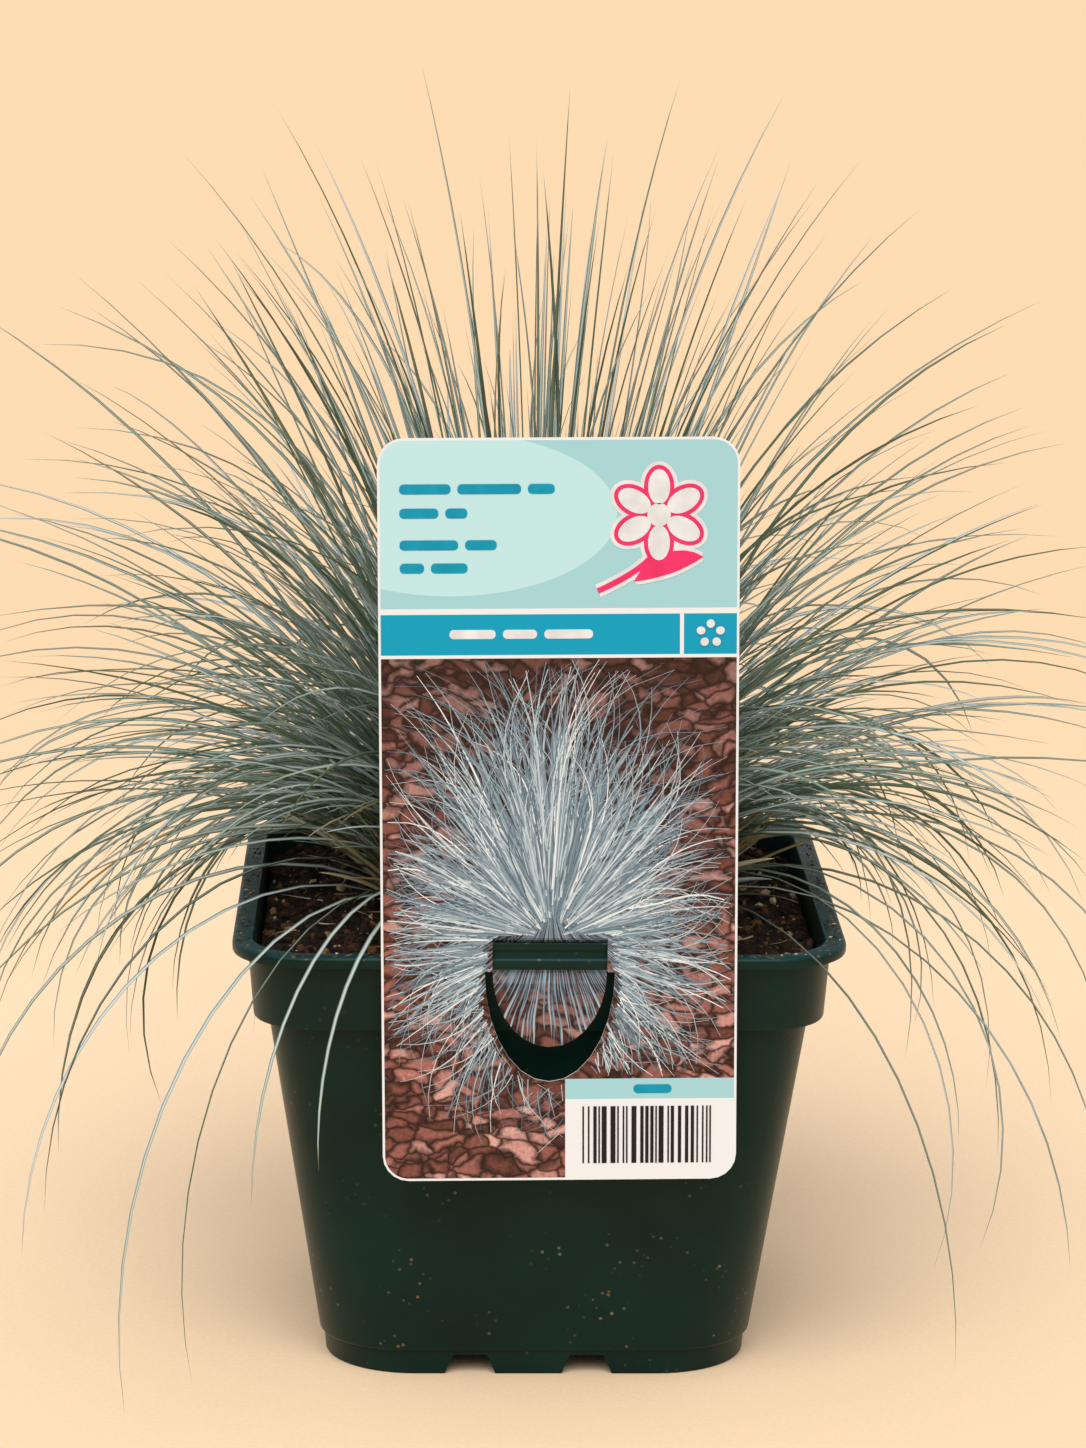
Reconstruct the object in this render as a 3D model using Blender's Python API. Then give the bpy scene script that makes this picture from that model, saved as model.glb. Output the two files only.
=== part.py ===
"""A blue fescue clump in a square tapered plastic nursery pot, with a hooked-on plant label.

Frame: metres, +Z up, origin at the centre of the pot's underside, front of the pot towards -Y.
The pot stands on its foot at z = 0. The leaves are tapered tufts, each in its own upright plane.
"""

import math

import bmesh
import bpy
from mathutils import Matrix, Vector

# Pot: half widths, corner radii and heights of the square sections.
RIM_HALF = 0.0650
RIM_RADIUS = 0.0170
RIM_TOP = 0.0978
LIP_HEIGHT = 0.0026
RIM_INNER_HALF = 0.0604
SKIRT_TOP_HALF = 0.0617
SKIRT_BOTTOM_HALF = 0.0606
SKIRT_BOTTOM = 0.0808
BODY_TOP_HALF = 0.0576
BODY_BOTTOM_HALF = 0.0469
FOOT_LINE = 0.0058
FOOT_TOP_HALF = 0.0461
FOOT_BOTTOM_HALF = 0.0457
FLOOR_UNDERSIDE = 0.0046
WALL = 0.0009
CORNER_STEPS = 7

# Notches between the feet: two along each side, and drain holes in the floor.
NOTCH_CENTRES = (-0.0142, 0.0110)
NOTCH_TOP_WIDTH = 0.0072
NOTCH_BOTTOM_WIDTH = 0.0128
NOTCH_HEIGHT = 0.0044
NOTCH_DEPTH = 0.0060
DRAIN_RADIUS = 0.0045
DRAIN_RING = 0.0270
CENTRE_PAD_RADIUS = 0.0090

# Label holder: a short raised bar along the front of the rim, with a slot behind it.
BAR_CENTRE = 0.0017
BAR_WIDTH = 0.0290
BAR_TOP = 0.1010
BAR_THICK = 0.0013
BAR_FOOT = 0.0954
SLOT_WIDTH = 0.0250
SLOT_BACK = 0.0630

# Soil and crown.
SOIL_GAP = 0.0004
SOIL_EDGE = 0.0922
SOIL_TOP = 0.0950
CROWN_RADIUS = 0.0350
CROWN_TOP = 0.0990

# Label: a thin plate in front of the rim, with a die-cut window and a tongue behind the bar.
LABEL_CENTRE = 0.0034
LABEL_WIDTH = 0.0742
LABEL_BOTTOM = 0.0500
LABEL_TOP = 0.2076
LABEL_THICK = 0.0004
LABEL_FRONT = 0.0660
LABEL_CORNER = 0.0055
LABEL_TILT = math.radians(0.58)
WINDOW_CENTRE = 0.0018
WINDOW_WIDTH = 0.0240
WINDOW_TOP = 0.1024
SHOULDER = 0.0951
MOUTH_WIDTH = 0.0272
MOUTH_BOTTOM = 0.0714
TONGUE_WIDTH = 0.0238
TONGUE_BOTTOM = 0.0787
CURVE_STEPS = 28

# Tufts: six-sided tapered stalks, thin where they leave the crown.
TUFT_SIDES = 6
TUFT_STEPS = 8
TUFT_BASE_RADIUS = 0.0021
TUFT_TIP_RADIUS = 0.0004

# Each ring: distance of the base from the centre, number of tufts, first azimuth (degrees),
# lean from upright at the base and at the tip (degrees), length and greatest radius.
RINGS = (
    (0.0000, 1, 0.0, 2.0, 4.0, 0.1760, 0.0042),
    (0.0085, 5, 20.0, 6.0, 16.0, 0.1780, 0.0040),
    (0.0150, 8, 10.0, 14.0, 32.0, 0.1790, 0.0042),
    (0.0210, 10, 0.0, 24.0, 54.0, 0.1620, 0.0042),
    (0.0265, 11, 17.0, 37.0, 85.0, 0.1240, 0.0034),
)
BEND = 1.25
# The outermost tufts hang over the rim: azimuth, lean at base and at tip, length.
TRAILING = (
    (0.0, 45.0, 172.0, 0.140),
    (28.0, 41.0, 182.0, 0.152),
    (58.0, 41.0, 172.0, 0.134),
    (90.0, 45.0, 172.0, 0.128),
    (122.0, 41.0, 172.0, 0.134),
    (152.0, 41.0, 182.0, 0.150),
    (180.0, 45.0, 172.0, 0.140),
    (203.0, 42.0, 178.0, 0.136),
    (227.0, 36.0, 190.0, 0.170),
    (311.0, 36.0, 182.0, 0.156),
    (335.0, 42.0, 176.0, 0.142),
)
TRAILING_BASE = 0.0315
TRAILING_RADIUS = 0.0030
TRAILING_BEND = 0.62
FRONT = 270.0
FRONT_SECTOR = 40.0
FRONT_LEANS = {1: (5.0, 12.0), 2: (9.0, 20.0), 3: (15.0, 30.0)}
FRONT_RADIUS = 0.0027
LENGTH_SPREAD = (0.0, -0.008, 0.004, -0.014, 0.002, -0.005, -0.011)


def clear_scene():
    for old in list(bpy.data.objects):
        bpy.data.objects.remove(old)


def material(name, colour, roughness, metallic=0.0):
    made = bpy.data.materials.new(name)
    made.use_nodes = True
    shader = made.node_tree.nodes["Principled BSDF"]
    shader.inputs["Base Color"].default_value = (*colour, 1.0)
    shader.inputs["Roughness"].default_value = roughness
    shader.inputs["Metallic"].default_value = metallic
    return made


def finish(bm, name, look, smooth=True):
    bmesh.ops.recalc_face_normals(bm, faces=bm.faces)
    mesh = bpy.data.meshes.new(name)
    bm.to_mesh(mesh)
    bm.free()
    for polygon in mesh.polygons:
        polygon.use_smooth = smooth
    mesh.materials.append(look)
    made = bpy.data.objects.new(name, mesh)
    bpy.context.scene.collection.objects.link(made)
    return made


def rounded_square(bm, half, radius, height):
    """One closed ring of edges, a square with rounded corners, at the given height."""
    made = bmesh.ops.create_grid(bm, x_segments=1, y_segments=1, size=half)
    corners = made["verts"]
    bmesh.ops.translate(bm, verts=corners, vec=(0.0, 0.0, height))
    rounded = bmesh.ops.bevel(
        bm,
        geom=corners,
        offset=radius,
        segments=CORNER_STEPS,
        affect="VERTICES",
        profile=0.5,
    )
    face = next(iter(rounded["verts"][0].link_faces))
    edges = list(face.edges)
    bmesh.ops.delete(bm, geom=[face], context="FACES_ONLY")
    return edges


def stack(bm, sections):
    """Bridges a run of rounded squares into one skin, and closes both ends."""
    rings = [rounded_square(bm, *section) for section in sections]
    for lower, upper in zip(rings, rings[1:]):
        bmesh.ops.bridge_loops(bm, edges=lower + upper)
    for ring in (rings[0], rings[-1]):
        bmesh.ops.contextual_create(bm, geom=ring)


def cutter(bm, name):
    made = finish(bm, name, bpy.data.materials["pot_plastic"], smooth=False)
    made.hide_render = True
    made.display_type = "WIRE"
    made.hide_viewport = False
    return made


def combine(target, other, operation):
    modifier = target.modifiers.new(other.name, "BOOLEAN")
    modifier.operation = operation
    modifier.solver = "EXACT"
    modifier.object = other


def box(bm, low, high):
    made = bmesh.ops.create_cube(bm, size=1.0)
    low = Vector(low)
    high = Vector(high)
    size = high - low
    bmesh.ops.scale(bm, verts=made["verts"], vec=size)
    bmesh.ops.translate(bm, verts=made["verts"], vec=(low + high) / 2)
    return made["verts"]


def notch(bm, centre, turn):
    """A tapered block through the foot, wider at the ground, turned to one side of the pot."""
    depth = FOOT_TOP_HALF + 0.004
    verts = box(
        bm,
        (centre - NOTCH_BOTTOM_WIDTH / 2, -depth, -0.002),
        (centre + NOTCH_BOTTOM_WIDTH / 2, -FOOT_BOTTOM_HALF + NOTCH_DEPTH, NOTCH_HEIGHT),
    )
    for vert in verts:
        if vert.co.z > 0.0:
            vert.co.x = centre + (vert.co.x - centre) * NOTCH_TOP_WIDTH / NOTCH_BOTTOM_WIDTH
    bmesh.ops.rotate(bm, verts=verts, matrix=Matrix.Rotation(turn, 3, "Z"))


def build_pot(look):
    bm = bmesh.new()
    lip_under = RIM_TOP - LIP_HEIGHT
    stack(
        bm,
        (
            (FOOT_BOTTOM_HALF - 0.0016, 0.0180, FLOOR_UNDERSIDE),
            (FOOT_BOTTOM_HALF - 0.0012, 0.0185, 0.0003),
            (FOOT_BOTTOM_HALF - 0.0004, 0.0193, 0.0),
            (FOOT_BOTTOM_HALF, 0.0195, 0.0004),
            (FOOT_TOP_HALF, 0.0188, FOOT_LINE - 0.0002),
            (BODY_BOTTOM_HALF, 0.0180, FOOT_LINE + 0.0004),
            (BODY_TOP_HALF, 0.0130, SKIRT_BOTTOM + 0.0006),
            (SKIRT_BOTTOM_HALF - 0.0004, 0.0135, SKIRT_BOTTOM),
            (SKIRT_BOTTOM_HALF, 0.0137, SKIRT_BOTTOM + 0.0005),
            (SKIRT_TOP_HALF, 0.0142, lip_under + 0.0002),
            (RIM_HALF - 0.0004, 0.0167, lip_under),
            (RIM_HALF, RIM_RADIUS, lip_under + 0.0005),
            (RIM_HALF, RIM_RADIUS, RIM_TOP - 0.0006),
            (RIM_HALF - 0.0006, 0.0165, RIM_TOP),
            (RIM_INNER_HALF + 0.0004, 0.0140, RIM_TOP - 0.0001),
            (RIM_INNER_HALF, 0.0137, RIM_TOP - 0.0005),
            (SKIRT_BOTTOM_HALF - WALL, 0.0127, SKIRT_BOTTOM + 0.0018),
            (BODY_TOP_HALF - WALL, 0.0120, SKIRT_BOTTOM + 0.0016),
            (BODY_BOTTOM_HALF - WALL, 0.0168, FLOOR_UNDERSIDE + WALL + 0.0008),
            (BODY_BOTTOM_HALF - WALL - 0.0008, 0.0160, FLOOR_UNDERSIDE + WALL),
        ),
    )
    pot = finish(bm, "pot", look)

    bm = bmesh.new()
    bmesh.ops.create_cone(
        bm,
        cap_ends=True,
        segments=24,
        radius1=CENTRE_PAD_RADIUS,
        radius2=CENTRE_PAD_RADIUS,
        depth=FLOOR_UNDERSIDE + 0.0006,
        matrix=Matrix.Translation((0.0, 0.0, (FLOOR_UNDERSIDE + 0.0006) / 2)),
    )
    combine(pot, cutter(bm, "centre_pad"), "UNION")

    bm = bmesh.new()
    box(
        bm,
        (BAR_CENTRE - BAR_WIDTH / 2, -RIM_HALF + 0.00005, BAR_FOOT),
        (BAR_CENTRE + BAR_WIDTH / 2, -RIM_INNER_HALF - 0.0002, BAR_TOP),
    )
    upright = [edge for edge in bm.edges if abs((edge.verts[0].co - edge.verts[1].co).z) > 0.001]
    bmesh.ops.bevel(
        bm, geom=upright, offset=0.0012, segments=3, affect="EDGES", profile=0.5, material=-1
    )
    combine(pot, cutter(bm, "bar_block"), "UNION")

    bm = bmesh.new()
    box(
        bm,
        (BAR_CENTRE - SLOT_WIDTH / 2, -RIM_HALF + BAR_THICK, 0.0900),
        (BAR_CENTRE + SLOT_WIDTH / 2, -SLOT_BACK, BAR_TOP + 0.002),
    )
    combine(pot, cutter(bm, "slot_block"), "DIFFERENCE")

    bm = bmesh.new()
    box(
        bm,
        (BAR_CENTRE - BAR_WIDTH, -SLOT_BACK - 0.0001, RIM_TOP + 0.00008),
        (BAR_CENTRE + BAR_WIDTH, -RIM_INNER_HALF + 0.002, BAR_TOP + 0.002),
    )
    combine(pot, cutter(bm, "ledge_block"), "DIFFERENCE")

    bm = bmesh.new()
    for quarter in range(4):
        for centre in NOTCH_CENTRES:
            notch(bm, centre, quarter * math.pi / 2)
    combine(pot, cutter(bm, "notch_blocks"), "DIFFERENCE")

    bm = bmesh.new()
    for hole in range(8):
        turn = (hole + 0.5) * math.pi / 4
        centre = Vector((math.cos(turn), math.sin(turn), 0.0)) * DRAIN_RING
        centre.z = FLOOR_UNDERSIDE + 0.001
        bmesh.ops.create_cone(
            bm,
            cap_ends=True,
            segments=16,
            radius1=DRAIN_RADIUS,
            radius2=DRAIN_RADIUS,
            depth=0.006,
            matrix=Matrix.Translation(centre),
        )
    combine(pot, cutter(bm, "drain_blocks"), "DIFFERENCE")
    return pot


def build_soil(look):
    bm = bmesh.new()
    inner = WALL + SOIL_GAP
    stack(
        bm,
        (
            (BODY_BOTTOM_HALF - inner - 0.0008, 0.0162, FLOOR_UNDERSIDE + WALL + SOIL_GAP),
            (BODY_TOP_HALF - inner, 0.0118, SKIRT_BOTTOM + 0.0020),
            (SKIRT_BOTTOM_HALF - inner, 0.0125, SKIRT_BOTTOM + 0.0024),
            (RIM_INNER_HALF - 0.0008, 0.0133, SOIL_EDGE),
            (0.0500, 0.0150, SOIL_EDGE + 0.0012),
            (0.0400, 0.0180, SOIL_TOP),
        ),
    )
    return finish(bm, "potting_soil", look)


def build_crown(look):
    bm = bmesh.new()
    bottom = SOIL_TOP + SOIL_GAP
    bmesh.ops.create_cone(
        bm,
        cap_ends=True,
        segments=28,
        radius1=CROWN_RADIUS,
        radius2=CROWN_RADIUS - 0.0015,
        depth=CROWN_TOP - bottom,
        matrix=Matrix.Translation((0.0, 0.0, (CROWN_TOP + bottom) / 2)),
    )
    return finish(bm, "crown", look, smooth=False)


def label_plate(bm, half_width, low, high, corner, front, thick):
    """An upright rounded plate, made flat and stood up, facing -Y."""
    made = bmesh.ops.create_grid(bm, x_segments=1, y_segments=1, size=1.0)
    verts = made["verts"]
    bmesh.ops.scale(bm, verts=verts, vec=(half_width, (high - low) / 2, 1.0))
    rounded = bmesh.ops.bevel(
        bm, geom=verts, offset=corner, segments=5, affect="VERTICES", profile=0.5
    )
    face = next(iter(rounded["verts"][0].link_faces))
    outline = set(face.verts)
    pulled = bmesh.ops.extrude_face_region(bm, geom=[face])
    lifted = [item for item in pulled["geom"] if isinstance(item, bmesh.types.BMVert)]
    bmesh.ops.translate(bm, verts=lifted, vec=(0.0, 0.0, thick))
    verts = list(outline | set(lifted))
    bmesh.ops.rotate(bm, verts=verts, matrix=Matrix.Rotation(math.pi / 2, 3, "X"))
    bmesh.ops.translate(bm, verts=verts, vec=(0.0, -front + thick, (low + high) / 2))
    return verts


def half_ellipse(bm, width, bottom, front, thick):
    """An upright prism, the lower half of an ellipse whose straight top edge is at the shoulder."""
    made = bmesh.ops.create_circle(bm, segments=CURVE_STEPS, radius=1.0)
    bmesh.ops.scale(bm, verts=made["verts"], vec=(width / 2, SHOULDER - bottom, 1.0))
    bmesh.ops.bisect_plane(
        bm,
        geom=bm.verts[:] + bm.edges[:],
        plane_co=(0.0, 0.0, 0.0),
        plane_no=(0.0, 1.0, 0.0),
        clear_outer=True,
        dist=1e-6,
    )
    filled = bmesh.ops.contextual_create(bm, geom=bm.verts[:])
    pulled = bmesh.ops.extrude_face_region(bm, geom=filled["faces"])
    lifted = [item for item in pulled["geom"] if isinstance(item, bmesh.types.BMVert)]
    bmesh.ops.translate(bm, verts=lifted, vec=(0.0, 0.0, thick))
    bmesh.ops.rotate(bm, verts=bm.verts, matrix=Matrix.Rotation(math.pi / 2, 3, "X"))
    bmesh.ops.translate(bm, verts=bm.verts, vec=(WINDOW_CENTRE, -front + thick, SHOULDER))


def build_tongue():
    """A strip that leaves the window's top edge, goes down behind the bar and comes out below."""
    behind = -RIM_HALF + BAR_THICK + 0.00035
    path = (
        (-LABEL_FRONT + 0.00020, WINDOW_TOP + 0.0006),
        (-RIM_HALF - 0.0001, BAR_TOP + 0.0010),
        (behind, BAR_TOP + 0.0005),
        (behind, BAR_FOOT - 0.0008),
        (-RIM_HALF + 0.0006, BAR_FOOT - 0.0032),
        (-RIM_HALF + 0.0003, BAR_FOOT - 0.0060),
        (-RIM_HALF - 0.0001, TONGUE_BOTTOM - 0.002),
    )
    bm = bmesh.new()
    left = WINDOW_CENTRE - TONGUE_WIDTH / 2
    front = [bm.verts.new((left, y, z)) for y, z in path]
    edges = [bm.edges.new(pair) for pair in zip(front, front[1:])]
    swept = bmesh.ops.extrude_edge_only(bm, edges=edges)
    moved = [item for item in swept["geom"] if isinstance(item, bmesh.types.BMVert)]
    bmesh.ops.translate(bm, verts=moved, vec=(TONGUE_WIDTH, 0.0, 0.0))
    tongue = cutter(bm, "tongue_strip")
    solidify = tongue.modifiers.new("thickness", "SOLIDIFY")
    solidify.thickness = LABEL_THICK
    solidify.offset = 0.0

    bm = bmesh.new()
    half_ellipse(bm, TONGUE_WIDTH + 0.0002, TONGUE_BOTTOM, LABEL_FRONT + 0.004, 0.008)
    brow = [face for face in bm.faces if face.calc_center_median().z > SHOULDER - 0.00001]
    raised = bmesh.ops.extrude_face_region(bm, geom=brow)
    lifted = [item for item in raised["geom"] if isinstance(item, bmesh.types.BMVert)]
    bmesh.ops.translate(bm, verts=lifted, vec=(0.0, 0.0, 0.012))
    bmesh.ops.delete(bm, geom=brow, context="FACES_ONLY")
    combine(tongue, cutter(bm, "tongue_outline"), "INTERSECT")
    return tongue


def build_label(look):
    bm = bmesh.new()
    verts = label_plate(
        bm, LABEL_WIDTH / 2, LABEL_BOTTOM, LABEL_TOP, LABEL_CORNER, LABEL_FRONT, LABEL_THICK
    )
    middle = Vector((0.0, 0.0, (LABEL_TOP + LABEL_BOTTOM) / 2))
    bmesh.ops.rotate(
        bm, verts=verts, cent=middle, matrix=Matrix.Rotation(-LABEL_TILT, 3, "Y")
    )
    bmesh.ops.translate(bm, verts=verts, vec=(LABEL_CENTRE, 0.0, 0.0))
    label = finish(bm, "plant_label", look, smooth=False)

    bm = bmesh.new()
    box(
        bm,
        (WINDOW_CENTRE - WINDOW_WIDTH / 2, -LABEL_FRONT - 0.002, SHOULDER - 0.002),
        (WINDOW_CENTRE + WINDOW_WIDTH / 2, -LABEL_FRONT + 0.003, WINDOW_TOP),
    )
    combine(label, cutter(bm, "window_block"), "DIFFERENCE")

    bm = bmesh.new()
    half_ellipse(bm, MOUTH_WIDTH, MOUTH_BOTTOM, LABEL_FRONT + 0.002, 0.005)
    combine(label, cutter(bm, "mouth_block"), "DIFFERENCE")
    combine(label, build_tongue(), "UNION")
    return label


def tuft_path(base, lean_low, lean_high, length, bend):
    """Points (outward, up) and leans of a stalk that bends steadily outwards as it grows."""
    out = base
    up = CROWN_TOP + 0.0004 + TUFT_BASE_RADIUS * math.sin(math.radians(lean_low))
    points = [(out, up, math.radians(lean_low))]
    for step in range(1, TUFT_STEPS + 1):
        share = (step - 0.5) / TUFT_STEPS
        lean = math.radians(lean_low + (lean_high - lean_low) * share**bend)
        out += math.sin(lean) * length / TUFT_STEPS
        up += math.cos(lean) * length / TUFT_STEPS
        points.append((out, up, lean))
    return points


def thickness(share, widest):
    """Radius of a tuft: thin at the crown, fullest at a third of its length, a point at the tip."""
    if share < 0.35:
        swell = math.sin(share / 0.35 * math.pi / 2)
        return TUFT_BASE_RADIUS + (widest - TUFT_BASE_RADIUS) * swell
    fade = (1.0 - share) / 0.65
    return TUFT_TIP_RADIUS + (widest - TUFT_TIP_RADIUS) * fade


def build_tuft(name, azimuth, base, course, widest, look):
    bm = bmesh.new()
    turn = Matrix.Rotation(math.radians(azimuth), 4, "Z")
    rings = []
    for step, (out, up, lean) in enumerate(tuft_path(base, *course)):
        radius = thickness(step / TUFT_STEPS, widest)
        made = bmesh.ops.create_circle(bm, segments=TUFT_SIDES, radius=radius)
        place = turn @ Matrix.Translation((out, 0.0, up)) @ Matrix.Rotation(lean, 4, "Y")
        bmesh.ops.transform(bm, matrix=place, verts=made["verts"])
        rings.append(list({edge for vert in made["verts"] for edge in vert.link_edges}))
    for lower, upper in zip(rings, rings[1:]):
        bmesh.ops.bridge_loops(bm, edges=lower + upper)
    for ring in (rings[0], rings[-1]):
        bmesh.ops.contextual_create(bm, geom=ring)
    return finish(bm, name, look)


def build_tufts(look):
    number = 0
    for ring, (base, count, first, lean_low, lean_high, length, widest) in enumerate(RINGS):
        for index in range(count):
            azimuth = (first + index * 360.0 / count) % 360.0
            leans = (lean_low, lean_high)
            radius = widest
            if ring and abs(azimuth - FRONT) < FRONT_SECTOR:
                if ring not in FRONT_LEANS:
                    continue
                leans = FRONT_LEANS[ring]
                radius = FRONT_RADIUS
            reach = length + LENGTH_SPREAD[number % len(LENGTH_SPREAD)]
            number += 1
            course = (*leans, reach, BEND)
            build_tuft(f"leaf_tuft_{number:02d}", azimuth, base, course, radius, look)
    for azimuth, lean_low, lean_high, length in TRAILING:
        number += 1
        build_tuft(
            f"leaf_tuft_{number:02d}",
            azimuth,
            TRAILING_BASE,
            (lean_low, lean_high, length, TRAILING_BEND),
            TRAILING_RADIUS,
            look,
        )


clear_scene()
build_pot(material("pot_plastic", (0.011, 0.022, 0.014), 0.42))
build_soil(material("soil", (0.020, 0.012, 0.006), 0.95))
build_crown(material("crown_fibre", (0.16, 0.12, 0.05), 0.90))
build_label(material("label_card", (0.88, 0.88, 0.86), 0.35))
build_tufts(material("fescue_leaf", (0.12, 0.18, 0.13), 0.55))
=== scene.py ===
# %% [markdown]
# # A clump of blue fescue in a square nursery pot
#
# This notebook dresses a plain CAD model of a potted grass. The CAD model gives every place and
# size; here the pot, the peat, the label and some seventeen hundred leaves get their surfaces.

# %% Load the CAD model as the frame
import math

import bmesh
import bpy
import numpy as np
from mathutils import Matrix, Vector, noise


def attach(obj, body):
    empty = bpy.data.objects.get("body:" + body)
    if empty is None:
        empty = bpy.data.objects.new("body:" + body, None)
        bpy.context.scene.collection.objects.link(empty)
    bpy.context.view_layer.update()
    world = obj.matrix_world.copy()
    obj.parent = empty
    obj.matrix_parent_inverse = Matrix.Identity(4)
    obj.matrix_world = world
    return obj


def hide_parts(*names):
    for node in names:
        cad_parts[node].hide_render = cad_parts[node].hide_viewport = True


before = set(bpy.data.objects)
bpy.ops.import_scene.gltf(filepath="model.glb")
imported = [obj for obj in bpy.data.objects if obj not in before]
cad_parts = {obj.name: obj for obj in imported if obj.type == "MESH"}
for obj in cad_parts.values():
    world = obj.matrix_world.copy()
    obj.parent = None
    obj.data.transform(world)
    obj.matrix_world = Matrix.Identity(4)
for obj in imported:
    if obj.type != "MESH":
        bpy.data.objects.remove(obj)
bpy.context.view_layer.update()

MM = 0.001


def add_object(name, data):
    """An object with this mesh, light or camera, at the origin of the scene."""
    made = bpy.data.objects.new(name, data)
    bpy.context.scene.collection.objects.link(made)
    return made


def as_mesh(bm, name):
    """The shape in bm as a mesh; bm is used up."""
    mesh = bpy.data.meshes.new(name)
    bm.to_mesh(mesh)
    bm.free()
    return mesh


def as_modified(item):
    """The mesh that an object's modifiers make of it."""
    bpy.context.view_layer.update()
    graph = bpy.context.evaluated_depsgraph_get()
    return bpy.data.meshes.new_from_object(item.evaluated_get(graph))


# %% [markdown]
# ## Colours and shader nodes
#
# Colours are easiest to judge as the hex values that a screen shows, but Blender mixes light in
# linear values, so one function converts them. Another adds a shader node with its settings and
# its links in one go, which keeps the materials short enough to read.


# %% Helpers for materials
def hex_colour(text):
    """An sRGB hex value as linear red, green, blue and alpha."""
    values = [int(text[start : start + 2], 16) / 255 for start in (1, 3, 5)]
    linear = [v / 12.92 if v <= 0.04045 else ((v + 0.055) / 1.055) ** 2.4 for v in values]
    return (*linear, 1.0)


def set_inputs(tree, node, inputs):
    """Sets a node's inputs, by name or number, to values or to what another node gives."""
    for name, value in inputs.items():
        if isinstance(name, int):
            socket = node.inputs[name]
        else:
            socket = next(item for item in node.inputs if item.name == name and item.enabled)
        if isinstance(value, bpy.types.Node):
            value = next(item for item in value.outputs if item.enabled)
        if isinstance(value, bpy.types.NodeSocket):
            tree.links.new(value, socket)
        else:
            socket.default_value = hex_colour(value) if isinstance(value, str) else value


def add_node(tree, kind, inputs, stops=(), **settings):
    """A new shader node. The stops are the (position, hex colour) pairs of a colour ramp."""
    made = tree.nodes.new("ShaderNode" + kind)
    for name, value in settings.items():
        setattr(made, name, value)
    for number, (position, colour) in enumerate(stops):
        if number > 1:
            made.color_ramp.elements.new(position)
        element = made.color_ramp.elements[number]
        element.position = position
        element.color = hex_colour(colour)
    set_inputs(tree, made, inputs)
    return made


def new_material(name, roughness, ior):
    """A named material, its node tree, its Principled shader and its Object coordinates."""
    made = bpy.data.materials.new(name)
    made.use_nodes = True
    tree = made.node_tree
    shader = tree.nodes["Principled BSDF"]
    set_inputs(tree, shader, {"Roughness": roughness, "IOR": ior})
    return made, tree, shader, add_node(tree, "TexCoord", {}).outputs["Object"]


# How a Mix node puts one colour on another: it covers it, or multiplies the two.
OVER = {"data_type": "RGBA"}
TINT = {"data_type": "RGBA", "blend_type": "MULTIPLY"}


# %% [markdown]
# ## Finished pieces
#
# Every new piece is one object at the origin. It rides on the model's only body, stands in for the
# CAD nodes that it covers, which it hides, and carries the one material that gives its finish.


# %% From a mesh to a piece of the model
def finish_mesh(mesh, name, look, nodes=(), smooth=True):
    mesh.polygons.foreach_set("use_smooth", [smooth] * len(mesh.polygons))
    mesh.materials.clear()
    mesh.materials.append(look)
    mesh.update()
    piece = add_object(name, mesh)
    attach(piece, "root")
    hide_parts(*nodes)
    print(name, "has", sum(len(face.vertices) - 2 for face in mesh.polygons), "triangles")
    return piece


def finish_piece(bm, name, look, nodes=(), smooth=True):
    bmesh.ops.recalc_face_normals(bm, faces=bm.faces)
    return finish_mesh(as_mesh(bm, name), name, look, nodes, smooth)


# %% [markdown]
# ## Camera, floor and light
#
# The clump is seen from a little above, from just over a metre away, through a long lens, which
# keeps the tapered pot nearly free of perspective. The floor is a wide disc of warm pale paper. A
# bright sky gives even light all over, and a sun with a wide face adds the soft shadow.

# %% The camera
CAMERA_DISTANCE = 1.100
CAMERA_TILT = math.radians(11.92)
CAMERA_TURN = math.radians(1.39)
CAMERA_ROLL = math.radians(0.49)
CAMERA_TARGET = Vector((0.0015, 0.0, 0.1340))

camera_data = bpy.data.cameras.new("camera")
camera_data.sensor_fit = "VERTICAL"
camera_data.sensor_height = 24.0
camera_data.lens = 83.0
camera = add_object("camera", camera_data)
turn = Matrix.Rotation(-CAMERA_TURN, 4, "Z") @ Matrix.Rotation(math.pi / 2 - CAMERA_TILT, 4, "X")
turn = turn @ Matrix.Rotation(CAMERA_ROLL, 4, "Z")
place = CAMERA_TARGET + turn.to_3x3() @ Vector((0.0, 0.0, CAMERA_DISTANCE))
camera.matrix_world = Matrix.Translation(place) @ turn
bpy.context.scene.camera = camera
print("camera at", [round(value, 3) for value in place])

# %% The floor
FLOOR_RADIUS = 9.0
paper, tree, shader, where = new_material("pale_studio_paper", 0.9, 1.45)
pulp = add_node(tree, "TexNoise", {"Vector": where, "Scale": 900.0, "Detail": 3.0})
pulp_tint = add_node(tree, "ValToRGB", {"Fac": pulp}, ((0.3, "#F8F8F8"), (0.7, "#FFFFFF")))
spread = add_node(tree, "VectorMath", {0: where}, operation="LENGTH")
# Painted pool of light: the paper is painted lighter out to 0.2 m round the pot and fades to its plain
# colour by 0.75 m.
painted_light_pool = add_node(tree, "MapRange", {"Value": spread, "From Min": 0.2, "From Max": 0.75})
painted_light_pool_colour = add_node(tree, "Mix", {"Factor": painted_light_pool, "A": "#FFE1BC", "B": "#F5D4AB"}, **OVER)
paper_colour = add_node(tree, "Mix", {"Factor": 1.0, "A": painted_light_pool_colour, "B": pulp_tint}, **TINT)
set_inputs(tree, shader, {"Base Color": paper_colour, "Specular IOR Level": 0.1})
bm = bmesh.new()
bmesh.ops.create_circle(bm, cap_ends=True, segments=64, radius=FLOOR_RADIUS)
floor = add_object("floor", as_mesh(bm, "floor"))
floor.data.materials.append(paper)

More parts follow.
